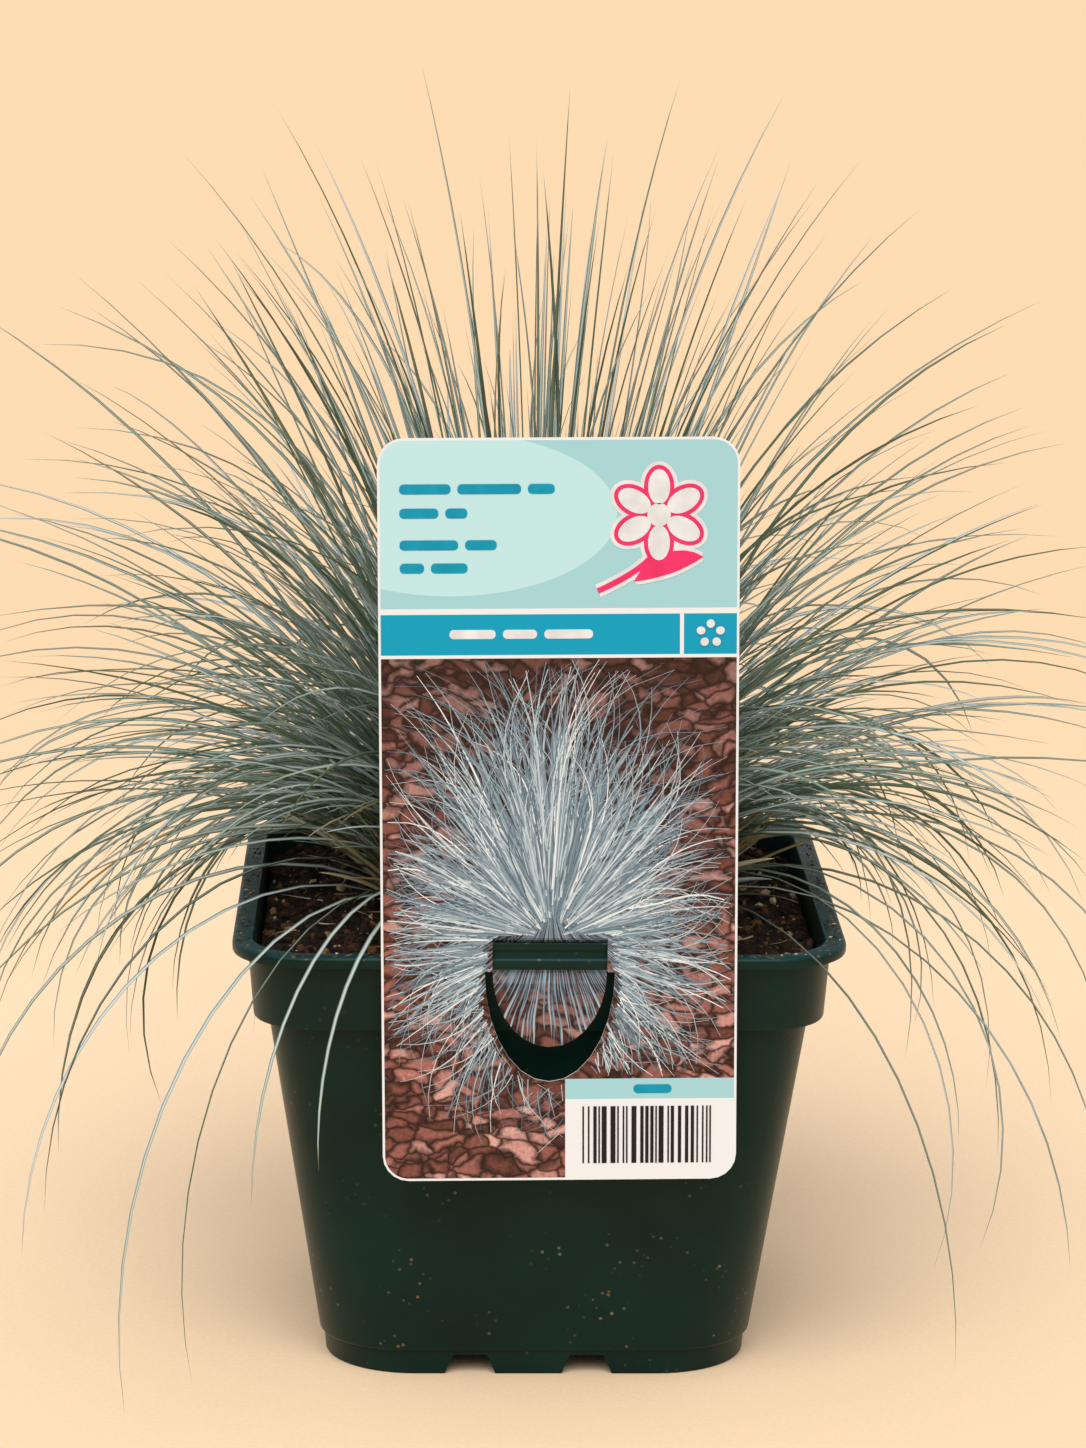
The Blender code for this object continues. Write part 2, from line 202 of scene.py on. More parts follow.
# %% The light
SKY_STRENGTH = 0.64
SUN_STRENGTH = 2.25
world = bpy.data.worlds.new("studio_sky")
world.use_nodes = True
background = world.node_tree.nodes["Background"]
set_inputs(world.node_tree, background, {"Color": "#F8F8FC", "Strength": SKY_STRENGTH})
bpy.context.scene.world = world
bpy.context.scene.view_settings.view_transform = "Standard"
sun_data = bpy.data.lights.new("soft_key", "SUN")
sun_data.energy = SUN_STRENGTH
sun_data.angle = math.radians(52.0)
sun_data.color = hex_colour("#FFFCF7")[:3]
sun = add_object("soft_key", sun_data)
sun.rotation_euler = (math.radians(40.0), math.radians(-6.0), 0.0)

# %% [markdown]
# ## The pot
#
# A nursery pot is moulded in thin dark polypropylene: a flat rim with a turned-down lip, a skirt
# that lets pots stack, a plain tapered wall and a foot with notches for drainage. It could be a
# scaled cube with many loop cuts, but a stack of rounded squares, bridged from one to the next,
# gives every step and corner radius directly. The sections repeat the CAD pot's sizes, with more
# steps round each corner so that the highlights run smoothly.

# %% The pot's plastic
# Moulded polypropylene has an even body colour, a faint orange-peel skin and a dull sheen. Dried
# peat clings in the lower third and along the foot as small pale specks. Faces that look up, such
# as the top of the rim and its lip, carry fine dust and are painted a paler blue-green, a painted
# highlight of the sky.
DUST_TOP = 48.0 * MM
plastic, tree, shader, where = new_material("moulded_polypropylene", 0.4, 1.49)
cloud = add_node(tree, "TexNoise", {"Vector": where, "Scale": 42.0, "Detail": 4.0})
body = add_node(tree, "ValToRGB", {"Fac": cloud}, ((0.3, "#021E1B"), (0.7, "#062822")))
height = add_node(tree, "SeparateXYZ", {"Vector": where}).outputs["Z"]
low = add_node(tree, "MapRange", {"Value": height, "From Max": DUST_TOP, "To Min": 1.0, "To Max": 0.16})
grain = add_node(tree, "TexVoronoi", {"Vector": where, "Scale": 520.0})
speck = add_node(
    tree,
    "MapRange",
    {"Value": grain, "From Min": 0.12, "From Max": 0.24, "To Min": 1.0, "To Max": 0.0},
)
patch = add_node(tree, "TexNoise", {"Vector": where, "Scale": 110.0, "Detail": 2.0})
chosen = add_node(tree, "MapRange", {"Value": patch, "From Min": 0.53, "From Max": 0.65})
dust = add_node(tree, "Math", {0: speck, 1: chosen}, operation="MULTIPLY")
dust = add_node(tree, "Math", {0: dust, 1: low}, operation="MULTIPLY")
earth = add_node(
    tree,
    "ValToRGB",
    {"Fac": grain.outputs["Color"]},
    ((0.2, "#4E4232"), (0.6, "#8A6E4B"), (0.9, "#B0A080")),
)
# Painted highlight: faces that look up are painted a paler blue-green, as the sky would light them, with
# small specks of dust.
surface = add_node(tree, "NewGeometry", {})
facing = add_node(tree, "SeparateXYZ", {"Vector": surface.outputs["Normal"]}).outputs["Z"]
upward_dust_and_highlight = add_node(tree, "MapRange", {"Value": facing, "From Min": 0.15, "From Max": 0.8, "To Max": 0.8})
dust_and_painted_highlight = add_node(tree, "ValToRGB", {"Fac": grain}, ((0.15, "#7A6C50"), (0.3, "#0F3B3C")))
body = add_node(tree, "Mix", {"Factor": upward_dust_and_highlight, "A": body, "B": dust_and_painted_highlight}, **OVER)
pot_colour = add_node(tree, "Mix", {"Factor": dust, "A": body, "B": earth}, **OVER)
dull = add_node(tree, "MapRange", {"Value": cloud, "To Min": 0.28, "To Max": 0.44})
peel = add_node(tree, "TexNoise", {"Vector": where, "Scale": 1500.0, "Detail": 2.0})
relief = add_node(tree, "Bump", {"Height": peel, "Distance": 0.03 * MM, "Strength": 0.6})
set_inputs(tree, shader, {"Base Color": pot_colour, "Roughness": dull, "Normal": relief})
set_inputs(tree, shader, {"Specular IOR Level": 0.15})

# %% A rounded square, and a stack of them
CORNER_STEPS = 14


def rounded_square(bm, half, radius, height):
    """One closed ring of edges, a square with rounded corners, all in millimetres."""
    made = bmesh.ops.create_grid(bm, x_segments=1, y_segments=1, size=half * MM)
    bmesh.ops.translate(bm, verts=made["verts"], vec=(0.0, 0.0, height * MM))
    rounded = bmesh.ops.bevel(
        bm,
        geom=made["verts"],
        offset=radius * MM,
        segments=CORNER_STEPS,
        affect="VERTICES",
        profile=0.5,
        material=-1,
    )
    face = next(iter(rounded["verts"][0].link_faces))
    edges = list(face.edges)
    bmesh.ops.delete(bm, geom=[face], context="FACES_ONLY")
    return edges


def stack(bm, sections):
    """Bridges a run of (half width, corner radius, height) into one skin, closed at both ends."""
    rings = [rounded_square(bm, *section) for section in sections]
    for lower, upper in zip(rings, rings[1:]):
        bmesh.ops.bridge_loops(bm, edges=lower + upper)
    for ring in (rings[0], rings[-1]):
        bmesh.ops.contextual_create(bm, geom=ring)


# %% The pot's wall, rim and foot
RIM_TOP = 97.8
RIM_HALF = 65.0
# Half width, corner radius and height of each section: up the outside, over the rim and
# down the inside to the floor.
POT_SECTIONS = (
    (44.1, 18.0, 4.6), (44.4, 18.4, 0.35), (44.7, 18.8, 0.05), (45.2, 19.2, 0.0),
    (45.55, 19.4, 0.12), (45.7, 19.5, 0.45), (46.05, 18.9, 5.2), (46.15, 18.8, 5.6),
    (46.7, 18.2, 5.7), (46.85, 18.1, 5.95), (46.95, 18.0, 6.3), (52.0, 15.6, 42.0),
    (57.5, 13.1, 80.6), (57.65, 13.0, 81.2), (58.0, 13.1, 81.3), (60.0, 13.5, 80.85),
    (60.35, 13.6, 80.95), (60.6, 13.7, 81.4), (61.65, 14.2, 94.7), (61.9, 14.4, 95.2),
    (62.3, 14.7, 95.3), (64.4, 16.5, 95.15), (64.8, 16.8, 95.35), (65.0, 17.0, 95.8),
    (65.0, 17.0, 97.1), (64.85, 16.9, 97.5), (64.4, 16.5, 97.78), (63.9, 16.2, 97.8),
    (61.2, 14.3, 97.7), (60.75, 14.0, 97.55), (60.5, 13.8, 97.1), (59.7, 12.8, 82.7),
    (59.4, 12.6, 82.2), (57.2, 12.1, 82.3), (56.7, 12.0, 81.6), (46.0, 17.0, 6.6),
    (45.2, 16.2, 5.5),
)
bm = bmesh.new()
stack(bm, POT_SECTIONS)
pot = finish_piece(bm, "nursery_pot", plastic, ["pot"])

# %% [markdown]
# The front of the rim carries a short raised bar with a slot behind it, where a plant label hooks
# on. Two blocks joined to the rim and a slot cut through them make that. Tapered blocks cut two
# drain notches in each side of the foot, and a ring of holes opens the floor. Each of these is a
# Boolean, because they cross walls that the stack has already made.


# %% Boolean steps
def add_box(bm, low, high):
    """A box between two corners, in millimetres."""
    made = bmesh.ops.create_cube(bm, size=1.0)
    low, high = Vector(low) * MM, Vector(high) * MM
    bmesh.ops.scale(bm, verts=made["verts"], vec=high - low)
    bmesh.ops.translate(bm, verts=made["verts"], vec=(low + high) / 2)
    return made["verts"]


def combine(target, bm, operation):
    """Joins or cuts the target with the solid in bm, and leaves no modifier behind."""
    bmesh.ops.recalc_face_normals(bm, faces=bm.faces)
    tool = add_object("tool", as_mesh(bm, "tool"))
    modifier = target.modifiers.new("tool", "BOOLEAN")
    modifier.operation = operation
    modifier.solver = "EXACT"
    modifier.object = tool
    result = as_modified(target)
    target.modifiers.clear()
    target.data = result
    bpy.data.objects.remove(tool)


# %% The label bar and its slot
BAR_CENTRE = 1.7
BAR_HALF = 14.5
BAR_TOP = 101.0
BAR_BACK = -63.0
BAR_THICK = 1.3
BAR_LEDGE = 99.4
for low_z, high_z, front in (
    (95.4, BAR_LEDGE + 0.1, -RIM_HALF + 0.5),
    (BAR_LEDGE, BAR_TOP, -RIM_HALF + 0.05),
):
    bm = bmesh.new()
    add_box(bm, (BAR_CENTRE - BAR_HALF, front, low_z), (BAR_CENTRE + BAR_HALF, BAR_BACK, high_z))
    bmesh.ops.bevel(
        bm, geom=bm.edges[:], offset=0.2 * MM, segments=3, affect="EDGES", profile=0.5, material=-1
    )
    combine(pot, bm, "UNION")
bm = bmesh.new()
add_box(bm, (BAR_CENTRE - 12.5, -RIM_HALF + BAR_THICK, 90.0), (BAR_CENTRE + 12.5, BAR_BACK + 0.05, 103.0))
combine(pot, bm, "DIFFERENCE")

# %% The drain notches and holes
NOTCH_CENTRES = (-14.2, 11.0)
NOTCH_HALF_TOP = 3.6
NOTCH_HALF_BOTTOM = 6.4
DRAIN_RADIUS = 4.5
DRAIN_RING = 27.0
bm = bmesh.new()
for quarter in range(4):
    for centre in NOTCH_CENTRES:
        verts = add_box(
            bm,
            (centre - NOTCH_HALF_BOTTOM, -50.0, -2.0),
            (centre + NOTCH_HALF_BOTTOM, -39.7, 4.4),
        )
        for vert in verts:
            if vert.co.z > 0.0:
                side = math.copysign(NOTCH_HALF_TOP, vert.co.x - centre * MM)
                vert.co.x = (centre + side) * MM
        quarter_turn = Matrix.Rotation(quarter * math.pi / 2, 3, "Z")
        bmesh.ops.rotate(bm, verts=verts, matrix=quarter_turn)
combine(pot, bm, "DIFFERENCE")

bm = bmesh.new()
for hole in range(8):
    ring_turn = Matrix.Rotation((hole + 0.5) * math.pi / 4, 4, "Z")
    bmesh.ops.create_cone(
        bm,
        cap_ends=True,
        segments=24,
        radius1=DRAIN_RADIUS * MM,
        radius2=DRAIN_RADIUS * MM,
        depth=6.0 * MM,
        matrix=ring_turn @ Matrix.Translation((DRAIN_RING * MM, 0.0, 5.5 * MM)),
    )
combine(pot, bm, "DIFFERENCE")

bm = bmesh.new()
bmesh.ops.create_cone(
    bm,
    cap_ends=True,
    segments=40,
    radius1=8.8 * MM,
    radius2=9.0 * MM,
    depth=5.2 * MM,
    matrix=Matrix.Translation((0.0, 0.0, 2.6 * MM)),
)
combine(pot, bm, "UNION")
pot.data.polygons.foreach_set("use_smooth", [True] * len(pot.data.polygons))
pot.data.set_sharp_from_angle(angle=math.radians(38.0))
print("pot faces", len(pot.data.polygons))

# %% [markdown]
# ## Repeating a small shape
#
# Crumbs, fibres and leaves are hundreds of copies of one small shape. An Array modifier makes the
# copies as one mesh, which is far lighter than as many objects, and numpy then places every
# point at once. Point attributes remember how far along a copy each point lies and which shade
# that copy has, so that one material can colour them all differently.


# %% Copies, and where they go
def repeated(bm, count):
    """One mesh with count copies of the shape in bm, and the shape's own points."""
    mesh = as_mesh(bm, "copies")
    points = np.empty(len(mesh.vertices) * 3)
    mesh.vertices.foreach_get("co", points)
    maker = add_object("maker", mesh)
    array = maker.modifiers.new("copies", "ARRAY")
    array.count = count
    array.use_relative_offset = False
    copies = as_modified(maker)
    bpy.data.objects.remove(maker)
    return copies, points.reshape(-1, 3)


def place_copies(copies, points, attributes):
    """Moves every point, given in millimetres, and stores the point attributes."""
    copies.vertices.foreach_set("co", (points * MM).astype(np.float32).ravel())
    for title, values in attributes.items():
        made = copies.attributes.new(title, "FLOAT", "POINT")
        made.data.foreach_set("value", np.ascontiguousarray(values, np.float32).ravel())


# %% [markdown]
# ## The potting mix
#
# Peat with bark fines and a little grit fills the pot to just under the rim. Its bed is a fine
# grid, trimmed to the pot's rounded square and pushed up and down with noise, with its border
# drawn down and closed. Loose crumbs and straw on top give the ragged outline that displaced
# ground alone never has.

# %% Peat, from nearly black to rust, with pale grit
peat, tree, shader, where = new_material("damp_peat_with_bark", 0.95, 1.4)
lump = add_node(tree, "TexNoise", {"Vector": where, "Scale": 260.0, "Detail": 6.0})
ground = add_node(
    tree,
    "ValToRGB",
    {"Fac": lump},
    ((0.32, "#0B0705"), (0.48, "#1A110A"), (0.60, "#2C1D13"), (0.76, "#513722")),
)
grit = add_node(tree, "TexVoronoi", {"Vector": where, "Scale": 900.0})
pale = add_node(
    tree,
    "MapRange",
    {"Value": grit, "From Min": 0.10, "From Max": 0.22, "To Min": 0.6, "To Max": 0.0},
)
grit_colour = add_node(
    tree,
    "ValToRGB",
    {"Fac": grit.outputs["Color"]},
    ((0.2, "#24170E"), (0.6, "#553C22"), (0.9, "#8E7A55")),
)
soil_colour = add_node(tree, "Mix", {"Factor": pale, "A": ground, "B": grit_colour}, **OVER)
relief = add_node(tree, "Bump", {"Height": lump, "Distance": 0.6 * MM, "Strength": 0.9})
set_inputs(tree, shader, {"Base Color": soil_colour, "Normal": relief, "Specular IOR Level": 0.25})

# %% Crumbs take their colour from the shade stored on each
crumb_look, tree, shader, where = new_material("peat_and_bark_crumbs", 0.9, 1.4)
tone = add_node(tree, "Attribute", {}, attribute_name="tone").outputs["Fac"]
mottle = add_node(tree, "TexNoise", {"Vector": where, "Scale": 1400.0, "Detail": 3.0})
crumb_colour = add_node(
    tree,
    "ValToRGB",
    {"Fac": tone},
    (
        (0.0, "#100A06"),
        (0.45, "#28180D"),
        (0.70, "#4A2F1C"),
        (0.86, "#70492A"),
        (0.95, "#B08E5C"),
        (1.0, "#DDD3B8"),
    ),
)
shade = add_node(tree, "ValToRGB", {"Fac": mottle}, ((0.3, "#858585"), (0.7, "#FFFFFF")))
crumb_colour = add_node(tree, "Mix", {"Factor": 0.6, "A": crumb_colour, "B": shade}, **TINT)
relief = add_node(tree, "Bump", {"Height": mottle, "Distance": 0.25 * MM, "Strength": 0.8})
set_inputs(tree, shader, {"Base Color": crumb_colour, "Normal": relief})

# %% The bed
SOIL_HALF = 59.9
SOIL_CORNER = 12.9
SOIL_TOP = 95.2
SOIL_FALL = 3.4
SOIL_UNDER = 84.0
rng = np.random.default_rng(11)


def beyond_square(x, y, half, corner):
    """How far a point lies outside a rounded square; below zero inside it."""
    over_x = np.maximum(np.abs(x) - (half - corner), 0.0)
    over_y = np.maximum(np.abs(y) - (half - corner), 0.0)
    inner = np.minimum(np.maximum(np.abs(x), np.abs(y)) - (half - corner), 0.0)
    return np.hypot(over_x, over_y) + inner - corner


def soil_height(x, y):
    """Peat level in millimetres: level round the crown, lower towards the rim."""
    fall = min(max((max(abs(x), abs(y)) - 34.0) / 24.0, 0.0), 1.0)
    rough = noise.fractal(Vector((x, y, 3.0)) * 0.11, 0.9, 2.1, 5)
    return SOIL_TOP - SOIL_FALL * fall * fall + 1.25 * rough


bm = bmesh.new()
bmesh.ops.create_grid(bm, x_segments=120, y_segments=120, size=60.4)
outside = [v for v in bm.verts if beyond_square(v.co.x, v.co.y, SOIL_HALF, SOIL_CORNER) > 0.0]
bmesh.ops.delete(bm, geom=outside, context="VERTS")
for vert in bm.verts:
    vert.co.z = soil_height(vert.co.x, vert.co.y)
border = [edge for edge in bm.edges if edge.is_boundary]
drawn = bmesh.ops.extrude_edge_only(bm, edges=border)
for item in drawn["geom"]:
    if isinstance(item, bmesh.types.BMVert):
        item.co.z = SOIL_UNDER
bmesh.ops.contextual_create(bm, geom=[edge for edge in bm.edges if edge.is_boundary])
bmesh.ops.scale(bm, verts=bm.verts, vec=(MM, MM, MM))
finish_piece(bm, "potting_mix", peat, ["potting_soil"])


# %% Crumbs of peat and bark
def any_turn(count):
    """Random rotation matrices."""
    angles = rng.uniform(0.0, 2 * np.pi, (count, 3))
    return np.array(
        [
            Matrix.Rotation(a, 3, "Z") @ Matrix.Rotation(b, 3, "X") @ Matrix.Rotation(c, 3, "Z")
            for a, b, c in angles
        ]
    )


def scatter(count, half, hole):
    """Random places on the soil, outside a round hole at the middle."""
    places = rng.uniform(-half, half, (count * 4, 2))
    keep = beyond_square(places[:, 0], places[:, 1], half, SOIL_CORNER) < 0.0
    keep &= np.hypot(places[:, 0], places[:, 1]) > hole
    return places[keep][:count]


places = scatter(4200, 58.6, 20.0)
count = len(places)
bm = bmesh.new()
bmesh.ops.create_icosphere(bm, subdivisions=1, radius=1.0)
copies, shape = repeated(bm, count)
size = 0.28 + 1.25 * rng.random(count) ** 4.0
squash = rng.uniform(0.55, 1.25, (count, 3))
dent = 1.0 + rng.uniform(-0.28, 0.28, (count, len(shape), 1))
local = np.einsum("nij,nkj->nki", any_turn(count), shape[None] * squash[:, None] * dent)
local *= size[:, None, None]
level = np.array([soil_height(x, y) for x, y in places]) + 0.2 * size
local += np.column_stack((places, level))[:, None]
tone = np.repeat(rng.random(count) ** 0.9, len(shape))
place_copies(copies, local, {"tone": tone})
finish_mesh(copies, "soil_crumbs", crumb_look, smooth=False)

# %% [markdown]
# Dried peat also lies along the flat rim and on the label bar, left there when the pot was filled.

# %% Dust on the rim
DUST = 1500
side = rng.integers(0, 4, DUST)
along = rng.uniform(-62.0, 62.0, DUST)
inset = 61.2 + 3.4 * rng.random(DUST)
size = 0.07 + 0.40 * rng.random(DUST) ** 5.0
quarters = np.array([Matrix.Rotation(quarter * math.pi / 2, 2) for quarter in side])
places = np.einsum("nij,nj->ni", quarters, np.column_stack((along, -inset)))
on_bar = (side == 0) & (np.abs(along - BAR_CENTRE) < BAR_HALF)
level = np.where(on_bar, BAR_TOP, RIM_TOP) + 0.1 * size
clear = beyond_square(places[:, 0], places[:, 1], 64.3, 16.4) < 0.0
clear &= beyond_square(places[:, 0], places[:, 1], 61.0, 14.2) > 0.0
clear &= ~on_bar | (places[:, 1] < -RIM_HALF + BAR_THICK - 0.2)
count = int(clear.sum())
bm = bmesh.new()
bmesh.ops.create_icosphere(bm, subdivisions=1, radius=1.0)
copies, shape = repeated(bm, count)
squash = rng.uniform(0.6, 1.4, (count, 3)) * np.array((1.0, 1.0, 0.5))
local = shape[None] * squash[:, None] * size[clear][:, None, None]
local += np.column_stack((places, level))[clear][:, None]
tone = np.repeat(0.60 + 0.40 * rng.random(count), len(shape))
place_copies(copies, local, {"tone": tone})
finish_mesh(copies, "rim_dust", crumb_look, smooth=False)

# %% [markdown]
# ## A leaf
#
# Blue fescue has needle leaves: each blade is rolled along its length, with a groove on the upper
# face and a keel below, barely a millimetre wide and up to eighteen centimetres long. Hair curves
# could draw them, but a mesh keeps its shape in any program. One leaf is a four-sided prism, cut
# into steps along its length and merged to a point at the tip. Each copy then follows its own
# bending path.

# %% One rolled blade, one unit long and two wide
LEAF_STEPS = 15


def leaf_shape():
    bm = bmesh.new()
    upright = Matrix.Translation((0.0, 0.0, 0.5))
    bmesh.ops.create_cone(
        bm, cap_ends=True, segments=4, radius1=1.0, radius2=1.0, depth=1.0, matrix=upright
    )
    long_edges = [e for e in bm.edges if abs(e.verts[0].co.z - e.verts[1].co.z) > 0.5]
    bmesh.ops.subdivide_edges(bm, edges=long_edges, cuts=LEAF_STEPS - 1)
    tip = [vert for vert in bm.verts if vert.co.z > 0.999]
    bmesh.ops.pointmerge(bm, verts=tip, merge_co=(0.0, 0.0, 1.0))
    for vert in bm.verts:
        if abs(vert.co.x) > 0.5:
            vert.co.y = 0.30
        elif vert.co.z < 0.999:
            vert.co.y = -0.05 if vert.co.y > 0.0 else -0.62
    bmesh.ops.recalc_face_normals(bm, faces=bm.faces)
    return bm


# %% The path of a leaf
CROWN_LEVEL = 96.5


def bending_paths(azimuth, base, low, high, length, bend, curl):
    """Centre lines that leave the crown at one lean and bend over to another, in degrees."""
    fine = 6 * LEAF_STEPS
    share = (np.arange(fine) + 0.5) / fine
    lean = np.radians(low[:, None] + (high - low)[:, None] * share[None] ** bend[:, None])
    swing = np.radians(azimuth[:, None] + curl[:, None] * share[None] ** 1.6)
    flow = np.stack((np.sin(lean) * np.cos(swing), np.sin(lean) * np.sin(swing), np.cos(lean)), axis=-1)
    path = np.zeros((len(length), fine + 1, 3))
    path[:, 1:] = np.cumsum(flow * length[:, None, None] / fine, axis=1)
    radians = np.radians(azimuth)
    start = (base * np.cos(radians), base * np.sin(radians), CROWN_LEVEL - 0.06 * base)
    return (path + np.column_stack(start)[:, None])[:, ::6]


# %% Wrapping leaves round their paths
WIDTH_ALONG = ((0.0, 0.85), (0.1, 1.0), (0.5, 1.0), (0.78, 0.74), (0.92, 0.38), (1.0, 0.05))


def grow(name, paths, widths, look, nodes, dry):
    """One copy of the leaf on each path; it stores along, tone, dry and groove for the colour."""
    count = len(paths)
    copies, shape = repeated(leaf_shape(), count)
    station = np.rint(shape[:, 2] * LEAF_STEPS).astype(int)
    flow = np.gradient(paths, axis=1)
    flow /= np.linalg.norm(flow, axis=-1, keepdims=True)
    out = paths[:, -1] - paths[:, 0]
    out /= np.maximum(np.hypot(out[:, 0], out[:, 1]), 1e-6)[:, None]
    across = np.column_stack((-out[:, 1], out[:, 0], np.zeros(count)))[:, None]
    across = across - (across * flow).sum(-1, keepdims=True) * flow
    across /= np.linalg.norm(across, axis=-1, keepdims=True)
    upper = np.cross(flow, across)
    share = np.arange(LEAF_STEPS + 1) / LEAF_STEPS
    twist = rng.uniform(-1.2, 1.2, (count, 1)) + rng.normal(0.0, 0.9, (count, 1)) * share[None]
    cosine, sine = np.cos(twist)[..., None], np.sin(twist)[..., None]
    across, upper = across * cosine + upper * sine, upper * cosine - across * sine
    wide = widths[:, None] * np.interp(share, *zip(*WIDTH_ALONG))[None]
    wide = wide[:, station, None]
    points = paths[:, station] + across[:, station] * shape[None, :, :1] * wide
    points += upper[:, station] * shape[None, :, 1:2] * wide
    in_groove = (shape[:, 1] > -0.2) & (np.abs(shape[:, 0]) < 0.5)
    attributes = {
        "along": np.tile(shape[:, 2], (count, 1)),
        "tone": np.repeat(rng.random(count), len(shape)),
        "dry": np.repeat(dry, len(shape)),
        "groove": np.tile(in_groove, (count, 1)),
    }
    place_copies(copies, points, attributes)
    return finish_mesh(copies, name, look, nodes)


# %% The leaf's surface
# A fescue leaf is dark green under a thin bloom of wax, which scatters light and turns it a cool
# grey-blue. The bloom lies over the outer part of the leaf, and the keel stays dark green. The pale
# line along the groove is partly wax and partly a painted highlight of the sky. The base is a dark
# olive, partly its own colour and partly painted shade from the crowded clump, and the sheath
# and the very tip dry to straw.
leaf_look, tree, shader, where = new_material("waxy_fescue_leaf", 0.38, 1.42)
along, tone, dry_part, groove = [
    add_node(tree, "Attribute", {}, attribute_name=title).outputs["Fac"]
    for title in ("along", "tone", "dry", "groove")
]
blotch = add_node(tree, "TexNoise", {"Vector": where, "Scale": 60.0, "Detail": 2.0})
deep = add_node(tree, "ValToRGB", {"Fac": tone}, ((0.0, "#222F1C"), (0.5, "#35452E"), (1.0, "#4E6048")))
waxy = add_node(
    tree,
    "ValToRGB",
    {"Fac": tone},
    ((0.0, "#4C6148"), (0.4, "#6A816C"), (0.75, "#8BA197"), (1.0, "#A9BDBD")),
)
# Painted highlight: a pale line along the groove on the upper face, partly wax and partly the sky's
# highlight painted in.
wax_and_painted_highlight = add_node(tree, "ValToRGB", {"Fac": tone}, ((0.0, "#9DB1A8"), (1.0, "#D9E3E5")))
bloom = add_node(tree, "ValToRGB", {"Fac": along}, ((0.05, "#1C1C1C"), (0.5, "#C8C8C8")))
bloom = add_node(tree, "Math", {0: bloom, 1: blotch}, operation="MULTIPLY")
bloom = add_node(tree, "MapRange", {"Value": bloom, "From Max": 0.42})
groove_part = add_node(tree, "MapRange", {"Value": groove, "To Max": 0.9})
# Painted shade: the lowest part of each leaf is painted a dark olive, partly its own colour and partly
# the shade deep in the clump.
base_stops = ((0.0, "#FFFFFF"), (0.10, "#A8A8A8"), (0.30, "#000000"))
base_olive_and_painted_shade = add_node(tree, "ValToRGB", {"Fac": along}, base_stops)
at_tip = add_node(tree, "ValToRGB", {"Fac": along}, ((0.94, "#000000"), (0.99, "#A0A0A0")))
straw_stops = ((0.0, "#6E5A35"), (0.5, "#A08A5A"), (1.0, "#C4B388"))
straw = add_node(tree, "ValToRGB", {"Fac": tone}, straw_stops)
leaf_colour = deep
for part, colour in (
    (bloom, waxy),
    (groove_part, wax_and_painted_highlight),
    (base_olive_and_painted_shade, "#45431F"),
    (at_tip, "#8F8558"),
    (dry_part, straw),
):
    leaf_colour = add_node(tree, "Mix", {"Factor": part, "A": leaf_colour, "B": colour}, **OVER)
set_inputs(tree, shader, {"Base Color": leaf_colour})

# %% [markdown]
# ## The clump
#
# The leaves fan from upright at the heart to trailing at the skirt. One number per leaf, its
# outwardness, picks where it starts, how far it leans at its base and at its tip, and how long it
# is. Random spread on each keeps neighbours apart. The front leaves stay behind the label, none
# enters the rim, and none goes under the ground, so a leaf that would is left out.

# %% How a leaf grows, by its outwardness from 0 at the heart to 1 at the skirt
STAGES = (0.0, 0.15, 0.35, 0.60, 0.80, 1.0)
BASE_RADIUS = (2.0, 10.0, 17.0, 24.0, 29.0, 33.0)
BASE_LEAN = (0.0, 6.0, 11.0, 19.0, 29.0, 41.0)
TIP_LEAN = (5.0, 22.0, 50.0, 106.0, 152.0, 178.0)
BENDING = (1.3, 1.3, 1.3, 1.2, 0.95, 0.75)
LENGTHS = (166.0, 170.0, 172.0, 160.0, 142.0, 142.0)
LABEL_BACK = -62.0
LABEL_TOP = 217.0
LABEL_MIDDLE = 3.4
LABEL_CLEARANCE = 41.0
FARTHEST = 145.0


def fits(paths):
    """Which paths stay clear of the label, rim and ground, and inside the object's box."""
    x, y, z = paths[..., 0], paths[..., 1], paths[..., 2]
    level = np.maximum(np.abs(x), np.abs(y))
    at_label = (np.abs(x - LABEL_MIDDLE) < LABEL_CLEARANCE) & (z < LABEL_TOP) & (y < LABEL_BACK)
    in_rim = (beyond_square(x, y, 66.0, 17.0) < 0.0) & (level > 52.0) & (z < 99.5)
    in_wall = (beyond_square(x, y, 63.5, 16.0) < 0.0) & (z < 94.0)
    too_far = (np.abs(x) > FARTHEST) | (y < -113.0) | (y > 136.0) | (z > 290.0) | (z < 0.9)
    return ~(at_label | in_rim | in_wall | too_far).any(axis=1)


def shades_peat(paths):
    """Which paths hang low over the open peat at the two sides, which only a few leaves do."""
    x, y, z = np.abs(paths[..., 0]), paths[..., 1], paths[..., 2]
    return ((x > 36.0) & (x < 66.0) & (y < 62.0) & (z > 96.0) & (z + 0.21 * y < 107.0)).any(axis=1)


def clump_paths(count, lowest, highest, shortest, skew):
    """Paths for leaves between two outwardness values; a larger skew makes more of them short."""
    many = 3 * count
    out = rng.uniform(lowest, highest, many)
    azimuth = rng.uniform(0.0, 360.0, many)
    low = np.interp(out, STAGES, BASE_LEAN) + rng.normal(0.0, 6.0, many)
    high = np.interp(out, STAGES, TIP_LEAN) * rng.uniform(0.55, 1.2, many)
    base = np.interp(out, STAGES, BASE_RADIUS) * rng.uniform(0.45, 1.05, many)
    length = shortest + (1.0 - shortest) * rng.random(many) ** skew
    length *= np.interp(out, STAGES, LENGTHS)
    bend = np.interp(out, STAGES, BENDING) * rng.uniform(0.7, 1.3, many)
    curl = rng.normal(0.0, 17.0, many)
    paths = bending_paths(azimuth, base, low, high, length, bend, curl)
    return paths[fits(paths) & ~shades_peat(paths)][:count]
